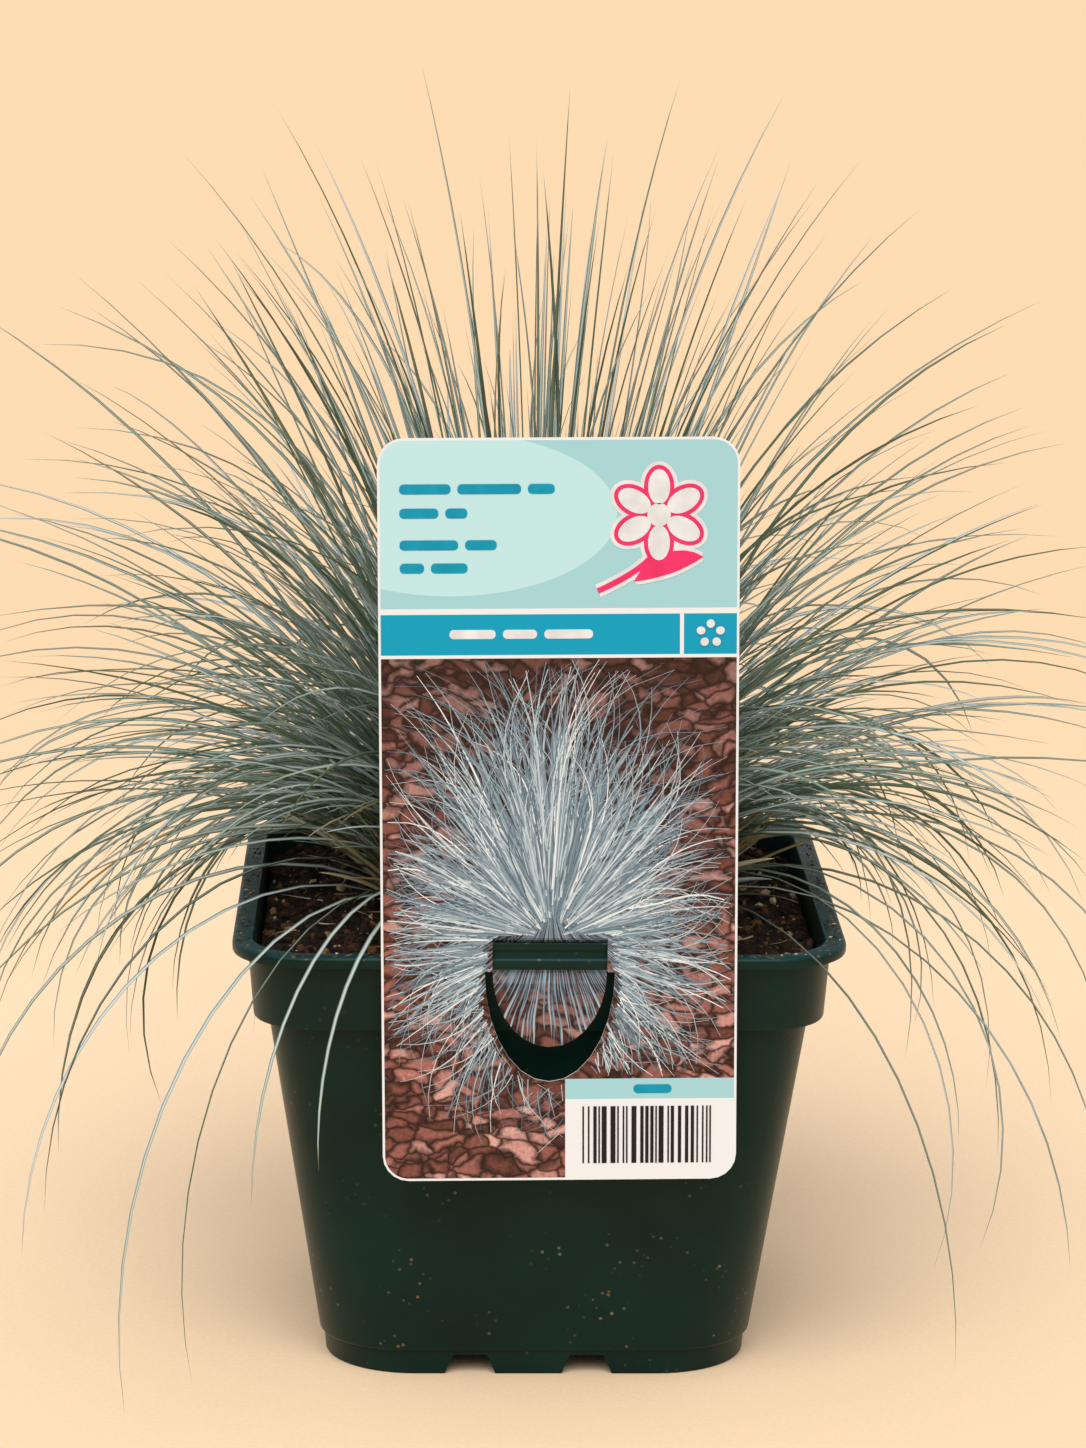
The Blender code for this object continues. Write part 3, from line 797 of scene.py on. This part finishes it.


# %% [markdown]
# The longest leaves make the clump's outline, so they are listed one by one. Each row of the first list
# gives where a tip ends, across and up, and how much of its rise the leaf makes in the first half
# of its length: 0.6 for a leaf that stands up, 1 for one that arches over. Each row of the second
# gives a trailing leaf's direction, its lean at the base and at the tip, and its length.

# %% The long leaves
STANDING_TIPS = (
    (-26, 277, 0.60), (6, 275, 0.60), (31, 274, 0.62), (53, 271, 0.62), (-57, 268, 0.62),
    (-7, 264, 0.58), (15, 262, 0.60), (-49, 260, 0.60), (70, 259, 0.64), (-78, 258, 0.64),
    (-39, 258, 0.60), (58, 251, 0.66), (81, 250, 0.68), (-30, 251, 0.60), (38, 252, 0.60),
    (-81, 240, 0.66), (-58, 238, 0.86), (72, 229, 0.80), (89, 232, 0.72), (110, 228, 0.74),
    (-104, 226, 0.80), (-110, 215, 1.04), (96, 205, 0.80), (106, 188, 0.98), (-98, 205, 0.96),
    (-106, 178, 1.10), (-113, 192, 1.02), (118, 172, 1.12), (-118, 160, 1.22), (121, 146, 1.36),
    (-117, 138, 1.40), (114, 130, 1.46), (-112, 122, 1.50), (124, 158, 1.24),
)
TRAILING_LEAVES = (
    (0, 45, 172, 140), (28, 41, 182, 152), (58, 41, 172, 134), (90, 45, 172, 128),
    (122, 41, 172, 134), (152, 41, 182, 150), (180, 45, 172, 140), (203, 42, 178, 136),
    (227, 36, 190, 166), (311, 36, 182, 156), (335, 42, 176, 142),
)
OVERHANGING_LEAVES = (
    (232, 27, 196, 160), (240, 14, 186, 100), (236, 18, 180, 116), (212, 18, 180, 140),
    (331, 18, 180, 110), (325, 18, 200, 140), (343, 24, 200, 140),
)


def standing_paths():
    """Paths through a start, a middle pull and a tip."""
    rows = np.array(STANDING_TIPS, float)
    count = len(rows)
    tip = np.column_stack((rows[:, 0], rng.normal(0.0, 22.0, count), rows[:, 1]))
    start = np.column_stack((0.12 * rows[:, 0], rng.normal(0.0, 5.0, count), np.full(count, CROWN_LEVEL)))
    pull = np.column_stack((np.full(count, 0.21), np.full(count, 0.4), rows[:, 2]))
    middle = start + (tip - start) * pull
    share = (np.arange(LEAF_STEPS + 1) / LEAF_STEPS)[None, :, None]
    first = start[:, None] * (1 - share) ** 2 + 2 * middle[:, None] * share * (1 - share)
    return first + tip[:, None] * share**2


def trailing_paths(count):
    """The listed trailing leaves, and more between them that differ a little."""
    listed = np.array(TRAILING_LEAVES + OVERHANGING_LEAVES, float)
    more = np.tile(np.array(TRAILING_LEAVES, float), (3 * count // len(TRAILING_LEAVES), 1))
    rows = np.concatenate((listed, more))
    many = len(rows)
    spread = np.where(np.arange(many) < len(listed), 0.0, 1.0)
    paths = bending_paths(
        azimuth=rows[:, 0] + spread * rng.normal(0.0, 11.0, many),
        base=30.0 - spread * rng.uniform(0.0, 9.0, many),
        low=rows[:, 1] + spread * rng.normal(0.0, 6.0, many),
        high=rows[:, 2] * (1.0 + spread * rng.uniform(-0.15, 0.12, many)),
        length=rows[:, 3] * (1.0 - spread * rng.uniform(-0.04, 0.34, many)),
        bend=0.62 + spread * rng.uniform(-0.1, 0.22, many),
        curl=spread * rng.normal(0.0, 12.0, many),
    )
    return paths[fits(paths) & ((spread == 0.0) | ~shades_peat(paths))][:count]


# %% Growing the clump, from the heart outwards
def grow_leaves(name, paths, first, last, dry_share, fresh=0):
    """Leaves in place of the CAD model's numbered tufts: a share is dry, never the first few."""
    nodes = [f"leaf_tuft_{number:02d}" for number in range(first, last + 1)]
    widths = rng.uniform(0.31, 0.50, len(paths))
    dry = (rng.random(len(paths)) < dry_share) * rng.uniform(0.5, 1.0, len(paths))
    dry[:fresh] = 0.0
    grow(name, paths, widths, leaf_look, nodes, dry)


heart = np.concatenate((standing_paths(), clump_paths(210, 0.0, 0.22, 0.42, 2.6)))
grow_leaves("heart_leaves", heart, 1, 6, 0.01)
grow_leaves("upright_leaves", clump_paths(400, 0.18, 0.46, 0.42, 2.4), 7, 14, 0.01)
grow_leaves("arching_leaves", clump_paths(520, 0.42, 0.72, 0.40, 2.1), 15, 24, 0.015)
grow_leaves("spreading_leaves", clump_paths(400, 0.66, 0.92, 0.40, 1.8), 25, 33, 0.02)
trailing = np.concatenate((trailing_paths(70), clump_paths(90, 0.88, 1.0, 0.45, 1.4)))
listed = len(TRAILING_LEAVES) + len(OVERHANGING_LEAVES)
grow_leaves("trailing_leaves", trailing, 34, 44, 0.03, listed)

# %% [markdown]
# ## The crown
#
# Under the leaves the crown is a low dome of packed old sheaths, straw-coloured and frayed. A
# flattened sphere gives the mass, and short dry stubs, shaped like the leaves but broader, cover
# it and lean out over the peat.

# %% Sheaths
CROWN_HALF = 33.0
fibres, tree, shader, where = new_material("packed_dry_sheaths", 0.85, 1.4)
fibre = add_node(tree, "TexNoise", {"Vector": where, "Scale": 600.0, "Detail": 4.0})
fibre_colour = add_node(
    tree, "ValToRGB", {"Fac": fibre}, ((0.3, "#1F1A0F"), (0.5, "#40381F"), (0.7, "#6E6038"))
)
relief = add_node(tree, "Bump", {"Height": fibre, "Distance": 0.4 * MM, "Strength": 0.8})
set_inputs(tree, shader, {"Base Color": fibre_colour, "Normal": relief})

bm = bmesh.new()
bmesh.ops.create_uvsphere(bm, u_segments=48, v_segments=24, radius=1.0)
for vert in bm.verts:
    swell = CROWN_HALF * (1.0 + 0.05 * noise.noise(vert.co * 6.0))
    vert.co = Vector((vert.co.x * swell, vert.co.y * swell, 93.5 + vert.co.z * 4.5))
bmesh.ops.scale(bm, verts=bm.verts, vec=(MM, MM, MM))
finish_piece(bm, "crown_base", fibres, ["crown"])

STUBS = 760
base = CROWN_HALF * np.sqrt(rng.random(STUBS))
low = base * 1.2 + rng.normal(0.0, 9.0, STUBS)
paths = bending_paths(
    azimuth=rng.uniform(0.0, 360.0, STUBS),
    base=base,
    low=low,
    high=low + rng.uniform(0.0, 40.0, STUBS),
    length=rng.uniform(10.0, 42.0, STUBS),
    bend=np.ones(STUBS),
    curl=rng.normal(0.0, 10.0, STUBS),
)
dry = rng.choice((0.0, 0.35, 0.7, 1.0), STUBS)
grow("leaf_sheaths", paths, rng.uniform(0.4, 0.8, STUBS), leaf_look, [], dry)

# %% [markdown]
# Short bits of dead leaf lie on the peat. They are the same blade, laid flat and bent sideways.

# %% Straw on the peat
places = scatter(70, 55.0, 26.0)
count = len(places)
share = np.arange(LEAF_STEPS + 1) / LEAF_STEPS
heading = rng.uniform(0.0, 2 * np.pi, (count, 1)) + rng.normal(0.0, 0.5, (count, 1)) * share[None]
reach = rng.uniform(3.0, 15.0, (count, 1)) * share[None]
paths = np.stack((np.cos(heading) * reach, np.sin(heading) * reach, 0.0 * reach), axis=-1)
paths[..., :2] += places[:, None]
inside = beyond_square(paths[..., 0], paths[..., 1], 58.5, SOIL_CORNER).max(axis=1) < 0.0
paths = paths[inside]
for path in paths:
    path[:, 2] = max(soil_height(x, y) for x, y in path[::3, :2]) + 0.25
widths = rng.uniform(0.10, 0.26, len(paths))
grow("straw_bits", paths, widths, leaf_look, [], np.full(len(paths), 0.8))

# %% [markdown]
# ## The plant label
#
# A tall card of printed polypropylene stands in front of the pot: a tongue cut from its middle
# hooks over the bar on the rim. The card's solid is already right, so it keeps its shape and gets
# a printed surface. Flat fields are drawn by the card's material from its coordinates. The crisp
# marks, such as bars, a flower and the leaves of the printed picture, are thin raised shapes,
# because a material would need far too fine a texture for their edges.

# %% The card's measures, in millimetres from its middle
CARD_CENTRE = (3.4, 0.0, 128.8)
CARD_TILT = math.radians(0.58)
CARD_FRONT = -66.0
CARD_HALF_WIDTH = 37.1
CARD_HALF_HEIGHT = 78.8
CARD_CORNER = 5.5
CUT_EDGE = 0.5
HEADER_FOOT = 43.4
BAND_TOP = 42.2
BAND_FOOT = 33.7
PICTURE_TOP = 33.0
DIVIDER = 25.3
CODE_LEFT = 1.2
CODE_TOP = -61.2
CODE_BAND = -56.8
PLANT_FOOT = (-1.6, -27.0)
TONGUE_CENTRE = (-1.9, -33.8)

# %% [markdown]
# The print is worked out on the card itself: its coordinates are turned into millimetres to the
# right of and above the card's middle, and each flat field is a comparison of the two. The picture
# is a bed of bark chips, which are stretched cells with dark cracks, under a plant, which is
# streaks that run out from its foot and thin out towards an oval.

# %% Where a point lies on the card
# Offset print on white polypropylene: even inks under a smooth, slightly glossy film.
card, tree, shader, where = new_material("printed_polypropylene_card", 0.36, 1.5)
set_inputs(tree, shader, {"Specular IOR Level": 0.2})
middle = tuple(value * MM for value in CARD_CENTRE)
where = add_node(tree, "VectorMath", {0: where, 1: middle}, operation="SUBTRACT")
where = add_node(tree, "VectorRotate", {"Vector": where, "Angle": CARD_TILT}, rotation_type="Y_AXIS")
where = add_node(tree, "VectorMath", {0: where, "Scale": 1.0 / MM}, operation="SCALE")
axes = add_node(tree, "SeparateXYZ", {"Vector": where})
right, up = axes.outputs["X"], axes.outputs["Z"]


def formula(first, *steps):
    """Works a value through (operation, number or socket) steps, one after another."""
    value = first
    for operation, *others in steps:
        value = add_node(tree, "Math", dict(enumerate((value, *others))), operation=operation)
    return value


def oval(centre, half_width, half_height):
    """0 at the centre of an oval and 1 on its edge, squared."""
    across = formula(right, ("SUBTRACT", centre[0]), ("DIVIDE", half_width), ("POWER", 2.0))
    rise = formula(up, ("SUBTRACT", centre[1]), ("DIVIDE", half_height), ("POWER", 2.0))
    return formula(across, ("ADD", rise))


# %% The card's bare margin and its back
flat_x = CARD_HALF_WIDTH - CARD_CORNER
flat_z = CARD_HALF_HEIGHT - CARD_CORNER
over_x = formula(right, ("ABSOLUTE",), ("SUBTRACT", flat_x), ("MAXIMUM", 0.0), ("POWER", 2.0))
over_z = formula(up, ("ABSOLUTE",), ("SUBTRACT", flat_z), ("MAXIMUM", 0.0), ("POWER", 2.0))
reach = formula(over_x, ("ADD", over_z), ("SQRT",))
margin = formula(reach, ("GREATER_THAN", CARD_CORNER - CUT_EDGE))
surface = add_node(tree, "NewGeometry", {})
facing = add_node(tree, "SeparateXYZ", {"Vector": surface.outputs["Normal"]})
unprinted = formula(facing.outputs["Y"], ("GREATER_THAN", -0.6))

# %% Bark chips
stretch = {"Vector": where, "Rotation": (0.0, 0.5, 0.0), "Scale": (0.19, 0.19, 0.36)}
chip_place = add_node(tree, "Mapping", stretch)
warp = add_node(tree, "TexNoise", {"Vector": where, "Scale": 0.09, "Detail": 3.0})
sway = add_node(tree, "VectorMath", {0: warp.outputs["Color"], "Scale": 3.4}, operation="SCALE")
chip_place = add_node(tree, "VectorMath", {0: chip_place, 1: sway}, operation="ADD")
chips = add_node(tree, "TexVoronoi", {"Vector": chip_place, "Scale": 1.0})
gaps = add_node(tree, "TexVoronoi", {"Vector": chip_place, "Scale": 1.0}, feature="DISTANCE_TO_EDGE")
grain = add_node(tree, "TexNoise", {"Vector": where, "Scale": 1.3, "Detail": 4.0})
chip_tone = add_node(tree, "SeparateColor", {"Color": chips.outputs["Color"]})
chip_tone = formula(chip_tone, ("MULTIPLY", 0.7), ("ADD", formula(grain, ("MULTIPLY", 0.4))))
bark = add_node(
    tree,
    "ValToRGB",
    {"Fac": chip_tone},
    ((0.15, "#3D231D"), (0.42, "#76473E"), (0.68, "#A0685F"), (0.92, "#D3A39B")),
)
crack = {"Value": gaps, "From Max": 0.22, "To Min": 1.0, "To Max": 0.0}
shade = {"Value": up, "From Min": -20.0, "From Max": 30.0, "To Max": 0.6}

# %% The mass of the printed plant
from_foot_x = formula(right, ("SUBTRACT", PLANT_FOOT[0]))
from_foot_z = formula(up, ("SUBTRACT", PLANT_FOOT[1] + 8.0))
rise = formula(from_foot_z, ("POWER", 2.0))
distance = formula(from_foot_x, ("POWER", 2.0), ("ADD", rise), ("SQRT",))
bow = formula(add_node(tree, "TexNoise", {"Vector": where, "Scale": 0.03}), ("MULTIPLY", 0.35))
round_foot = formula(from_foot_x, ("ARCTAN2", from_foot_z), ("ADD", bow), ("MULTIPLY", 46.0))
along_streak = {"X": round_foot, "Y": formula(distance, ("MULTIPLY", 0.05))}
streak_place = add_node(tree, "CombineXYZ", along_streak)
streaks = add_node(tree, "TexNoise", {"Vector": streak_place, "Scale": 1.0, "Detail": 3.0})
plant = {"Value": oval((-1.0, -15.0), 39.0, 51.0), "From Min": 0.05, "From Max": 1.3}
under_plant = {**plant, "From Min": 0.15, "From Max": 0.9, "To Min": 0.72, "To Max": 0.0}
threshold = add_node(tree, "MapRange", {**plant, "To Min": 0.42, "To Max": 0.95})
spare = formula(streaks, ("SUBTRACT", threshold))
plant_mask = add_node(tree, "MapRange", {"Value": spare, "From Min": -0.03, "From Max": 0.05})
plant_tone = add_node(
    tree,
    "ValToRGB",
    {"Fac": streaks},
    ((0.32, "#24333F"), (0.45, "#4A6172"), (0.58, "#7890A0"), (0.72, "#B0C0CA")),
)

# %% The layers of ink, from the bark to the card's bare margin
WHITE_FILM = "#DFE3E8"
PALE_AQUA = "#9ACBD5"
over_picture, over_rule, in_header, in_top = [
    formula(up, ("GREATER_THAN", foot))
    for foot in (PICTURE_TOP, BAND_FOOT, BAND_TOP, HEADER_FOOT)
]
at_foot = formula(up, ("LESS_THAN", CODE_BAND))
code_box = formula(right, ("GREATER_THAN", CODE_LEFT), ("MULTIPLY", at_foot))
code_band = formula(up, ("GREATER_THAN", CODE_TOP), ("MULTIPLY", code_box))
divider = formula(right, ("COMPARE", DIVIDER, 0.4), ("MULTIPLY", over_rule))
swoosh = oval((-22.0, 63.0), 34.0, 17.0)
header = add_node(tree, "ValToRGB", {"Fac": swoosh}, ((0.99, "#B4DDE4"), (1.0, PALE_AQUA)))
ink = bark
for mask, colour in (
    (add_node(tree, "MapRange", crack), "#24130F"),
    (add_node(tree, "MapRange", shade), "#231612"),
    (add_node(tree, "MapRange", under_plant), "#21130F"),
    (plant_mask, plant_tone),
    (code_box, WHITE_FILM),
    (code_band, PALE_AQUA),
    (over_picture, WHITE_FILM),
    (over_rule, "#0097BC"),
    (divider, WHITE_FILM),
    (in_header, WHITE_FILM),
    (in_top, header),
    (margin, WHITE_FILM),
    (unprinted, "#E8E8E8"),
):
    ink = add_node(tree, "Mix", {"Factor": mask, "A": ink, "B": colour}, **OVER)
set_inputs(tree, shader, {"Base Color": ink})
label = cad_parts["plant_label"]
label.material_slots[0].material = card
print("card print:", len(tree.nodes), "nodes")


# %% Thin raised print
# Each ink is one piece: flat shapes lifted a few hundredths of a millimetre off the card.
PRINT_THICKNESS = 0.05


def ink_material(name, colour, shine):
    """One ink with a faint unevenness of its film."""
    made, tree, shader, where = new_material(name, shine, 1.5)
    set_inputs(tree, shader, {"Specular IOR Level": 0.2})
    film = add_node(tree, "TexNoise", {"Vector": where, "Scale": 240.0, "Detail": 2.0})
    tint = add_node(tree, "ValToRGB", {"Fac": film}, ((0.3, "#E9E9E9"), (0.7, "#FFFFFF")))
    mixed = add_node(tree, "Mix", {"Factor": 1.0, "A": colour, "B": tint}, **TINT)
    set_inputs(tree, shader, {"Base Color": mixed})
    return made


def onto_card(bm, lift):
    """Tilts the print with the card and sets it on the card's front, in metres."""
    place = (CARD_CENTRE[0], CARD_FRONT - lift, CARD_CENTRE[2])
    bmesh.ops.rotate(bm, verts=bm.verts, matrix=Matrix.Rotation(-CARD_TILT, 3, "Y"))
    bmesh.ops.translate(bm, verts=bm.verts, vec=place)
    bmesh.ops.scale(bm, verts=bm.verts, vec=(MM, MM, MM))


def finish_print(bm, name, look, lift):
    """Turns flat shapes drawn as (right, up) into a thin layer on the card's front."""
    faces = bm.faces[:]
    raised = bmesh.ops.extrude_face_region(bm, geom=faces)
    lifted = [item for item in raised["geom"] if isinstance(item, bmesh.types.BMVert)]
    bmesh.ops.translate(bm, verts=lifted, vec=(0.0, 0.0, PRINT_THICKNESS))
    bmesh.ops.rotate(bm, verts=bm.verts, matrix=Matrix.Rotation(math.pi / 2, 3, "X"))
    onto_card(bm, lift)
    return finish_piece(bm, name, look, smooth=False)


def add_bar(bm, left, low, width, height, corner):
    """A flat bar with rounded ends."""
    made = bmesh.ops.create_grid(bm, x_segments=1, y_segments=1, size=0.5)
    bmesh.ops.scale(bm, verts=made["verts"], vec=(width, height, 1.0))
    bmesh.ops.translate(bm, verts=made["verts"], vec=(left + width / 2, low + height / 2, 0.0))
    if corner:
        bmesh.ops.bevel(
            bm,
            geom=made["verts"],
            offset=corner,
            segments=4,
            affect="VERTICES",
            profile=0.5,
            material=-1,
        )


# %% Plain bars where a label carries its lines of text
TEXT_HEIGHT = 2.1
TEXT_LEFT = -32.6
WORD_GAP = 1.4
TEXT_LINES = ((67.2, (10.5, 13.0, 5.5)), (62.2, (8.0, 4.5)), (55.6, (12.0, 6.5)), (50.8, (5.0, 7.5)))
teal = ink_material("teal_ink", "#0096B8", 0.34)
bm = bmesh.new()
for low, words in TEXT_LINES:
    left = TEXT_LEFT
    for word in words:
        add_bar(bm, left, low, word, TEXT_HEIGHT, 0.9)
        left += word + WORD_GAP
add_bar(bm, 15.5, CODE_TOP + 1.2, 8.0, 1.9, 0.9)
finish_print(bm, "label_teal_bars", teal, 0.03)

white = ink_material("white_ink", "#E0E4E9", 0.34)
bm = bmesh.new()
BAND_TEXT_LEFT = -22.5
BAND_TEXT_FOOT = 37.1
left = BAND_TEXT_LEFT
for word in (9.5, 7.0, 10.0):
    add_bar(bm, left, BAND_TEXT_FOOT, word, 1.9, 0.85)
    left += word + 1.5
finish_print(bm, "label_white_bars", white, 0.03)

# %% [markdown]
# The right of the header shows a plain flower, drawn as a ring of petals with a leafy stem in
# pink, on a white border a little larger than itself.


# %% The flower
def add_petals(bm, centre, petals, length, width, grow_by):
    """Petals are stretched circles that lean out from the flower's centre."""
    for number in range(petals):
        made = bmesh.ops.create_circle(bm, cap_ends=True, segments=28, radius=1.0)
        size = (width / 2 + grow_by, length / 2 + grow_by, 1.0)
        bmesh.ops.scale(bm, verts=made["verts"], vec=size)
        bmesh.ops.translate(bm, verts=made["verts"], vec=(0.0, length / 2 + 1.3, 0.0))
        turn = Matrix.Rotation(number * 2 * math.pi / petals, 3, "Z")
        bmesh.ops.rotate(bm, verts=made["verts"], matrix=turn)
        bmesh.ops.translate(bm, verts=made["verts"], vec=(centre[0], centre[1], 0.002 * number))


def add_ribbon(bm, points, widths, level):
    """A flat ribbon along a run of points, made by extruding one edge after another."""
    points = [Vector(point) for point in points]
    flow = [
        points[min(place + 1, len(points) - 1)] - points[max(place - 1, 0)]
        for place in range(len(points))
    ]
    side = [Vector((-step.y, step.x)).normalized() for step in flow]
    ends = [bm.verts.new((*(points[0] + side[0] * s * widths[0]), level)) for s in (-1, 1)]
    edge = bm.edges.new(ends)
    for point, across, wide in zip(points[1:], side[1:], widths[1:]):
        made = bmesh.ops.extrude_edge_only(bm, edges=[edge])["geom"]
        low, high = [item for item in made if isinstance(item, bmesh.types.BMVert)]
        edges = [item for item in made if isinstance(item, bmesh.types.BMEdge)]
        edge = next(item for item in edges if low in item.verts and high in item.verts)
        first_side = (low.co - ends[0].co).length < (low.co - ends[1].co).length
        for vert, sign in ((low, -1 if first_side else 1), (high, 1 if first_side else -1)):
            vert.co = (*(point + across * sign * wide), level)
        ends = [low, high] if first_side else [high, low]


FLOWER = (20.5, 62.8)
PETAL = (9.0, 6.2)
steps = np.linspace(0.0, 1.0, 9)
STEM = [(20.5 - 7.5 * t * t - 5.0 * t, 56.0 - 9.0 * t) for t in steps]
SPRIG = [(15.5 + 14.0 * t, 49.0 + 5.0 * t * (1.0 - t) + 5.0 * t) for t in steps]
SPRIG_WIDTHS = [2.1 * math.sin(math.pi * t) ** 0.8 + 0.1 for t in steps]
for name, look, extra, lift in (
    ("label_flower_border", white, 0.8, 0.03),
    ("label_flower", ink_material("pink_ink", "#E8326F", 0.34), 0.0, 0.10),
):
    bm = bmesh.new()
    add_petals(bm, FLOWER, 6, *PETAL, extra)
    add_ribbon(bm, STEM, [0.6 + extra] * len(STEM), 0.014)
    add_ribbon(bm, SPRIG, [wide + extra for wide in SPRIG_WIDTHS], 0.016)
    finish_print(bm, name, look, lift)
bm = bmesh.new()
add_petals(bm, FLOWER, 6, *PETAL, -0.85)
made = bmesh.ops.create_circle(bm, cap_ends=True, segments=32, radius=2.4)
bmesh.ops.translate(bm, verts=made["verts"], vec=(*FLOWER, 0.0))
add_petals(bm, (31.2, 38.0), 5, 1.6, 1.5, 0.1)
finish_print(bm, "label_white_marks", white, 0.18)

# %% Stripes in the white box at the foot
dark = ink_material("black_ink", "#1B1A1C", 0.4)
bm = bmesh.new()
STRIPE_FOOT = -75.2
STRIPE_HEIGHT = 12.4
left = CODE_LEFT + 3.6
while left < CARD_HALF_WIDTH - 5.0:
    width = float(rng.choice((0.35, 0.7, 1.05)))
    add_bar(bm, left, STRIPE_FOOT, width, STRIPE_HEIGHT, 0.0)
    left += width + float(rng.choice((0.35, 0.5, 0.8)))
finish_print(bm, "label_stripes", dark, 0.03)

# %% [markdown]
# The picture on the card shows a fescue in full growth, nearly white against bark. The streaks of
# the card's material give its mass; over a thousand flat printed leaves give it an edge. They
# leave out the mouth and the tongue that are cut into the card.

# %% Printed leaves
bleached, tree, shader, where = new_material("pale_blue_ink", 0.36, 1.5)
tone = add_node(tree, "Attribute", {}, attribute_name="tone").outputs["Fac"]
bleached_colour = add_node(
    tree,
    "ValToRGB",
    {"Fac": tone},
    ((0.0, "#465F70"), (0.5, "#7F97A6"), (0.8, "#B4C5CF"), (1.0, "#E6ECEF")),
)
set_inputs(tree, shader, {"Base Color": bleached_colour})
PRINT_STEPS = 9
PRINTED = 1300
bm = bmesh.new()
bmesh.ops.create_grid(bm, x_segments=1, y_segments=PRINT_STEPS, size=0.5)
for vert in bm.verts:
    vert.co = Vector((vert.co.x * 2.0, 0.0, vert.co.y + 0.5))
copies, shape = repeated(bm, PRINTED)
angle = rng.uniform(-1.0, 1.0, PRINTED)
angle = math.pi * np.sign(angle) * np.abs(angle) ** 1.25
tall = np.where(np.cos(angle) > 0.0, 66.0, 44.0)
limit = 1.0 / np.hypot(np.cos(angle) / tall, np.sin(angle) / 43.0)
reach = limit * rng.uniform(0.45, 1.06, PRINTED)
start_reach = reach * rng.uniform(0.1, 0.5, PRINTED)
bow = rng.normal(0.0, 0.45, PRINTED) + 0.12 * np.sign(angle)
share = shape[None, :, 2]
radius = start_reach[:, None] + (reach - start_reach)[:, None] * share
swing = angle[:, None] + bow[:, None] * (share - 0.3) ** 2 * np.sign(share - 0.3)
wide = rng.uniform(0.09, 0.20, PRINTED)[:, None] * (1.0 - 0.75 * share**2)
across = PLANT_FOOT[0] + np.sin(swing) * radius + np.cos(swing) * shape[None, :, 0] * wide
rise = PLANT_FOOT[1] + np.cos(swing) * radius - np.sin(swing) * shape[None, :, 0] * wide
layer = 0.02 + 0.05 * np.arange(PRINTED)[:, None] / PRINTED + 0.0 * share
points = np.stack((across, -layer, rise), axis=-1)
tone = np.repeat(rng.random(PRINTED), len(shape))
place_copies(copies, points, {"tone": tone})
bm = bmesh.new()
bm.from_mesh(copies)
bmesh.ops.scale(bm, verts=bm.verts, vec=(1.0 / MM, 1.0 / MM, 1.0 / MM))


def off_picture(vert):
    """Whether a point of a printed leaf is beyond the picture, in the mouth or over the box."""
    x, z = vert.co.x, vert.co.z
    if abs(x) > CARD_HALF_WIDTH - 0.8 or z > PICTURE_TOP - 0.3 or z < -CARD_HALF_HEIGHT + 1.0:
        return True
    if x > CODE_LEFT - 0.3 and z < CODE_BAND + 0.3:
        return True
    x, z = x - TONGUE_CENTRE[0], z - TONGUE_CENTRE[1]
    mouth = (x / 14.0) ** 2 + (z / 24.2) ** 2 < 1.0 and z < 0.4
    window = abs(x) < 12.6 and -0.4 < z < 7.9
    return mouth or window


bmesh.ops.delete(bm, geom=[vert for vert in bm.verts if off_picture(vert)], context="VERTS")
onto_card(bm, 0.0)
bm.normal_update()
flipped = [face for face in bm.faces if face.normal.y > 0.0]
bmesh.ops.reverse_faces(bm, faces=flipped)
finish_mesh(as_mesh(bm, "printed"), "label_printed_leaves", bleached, smooth=False)
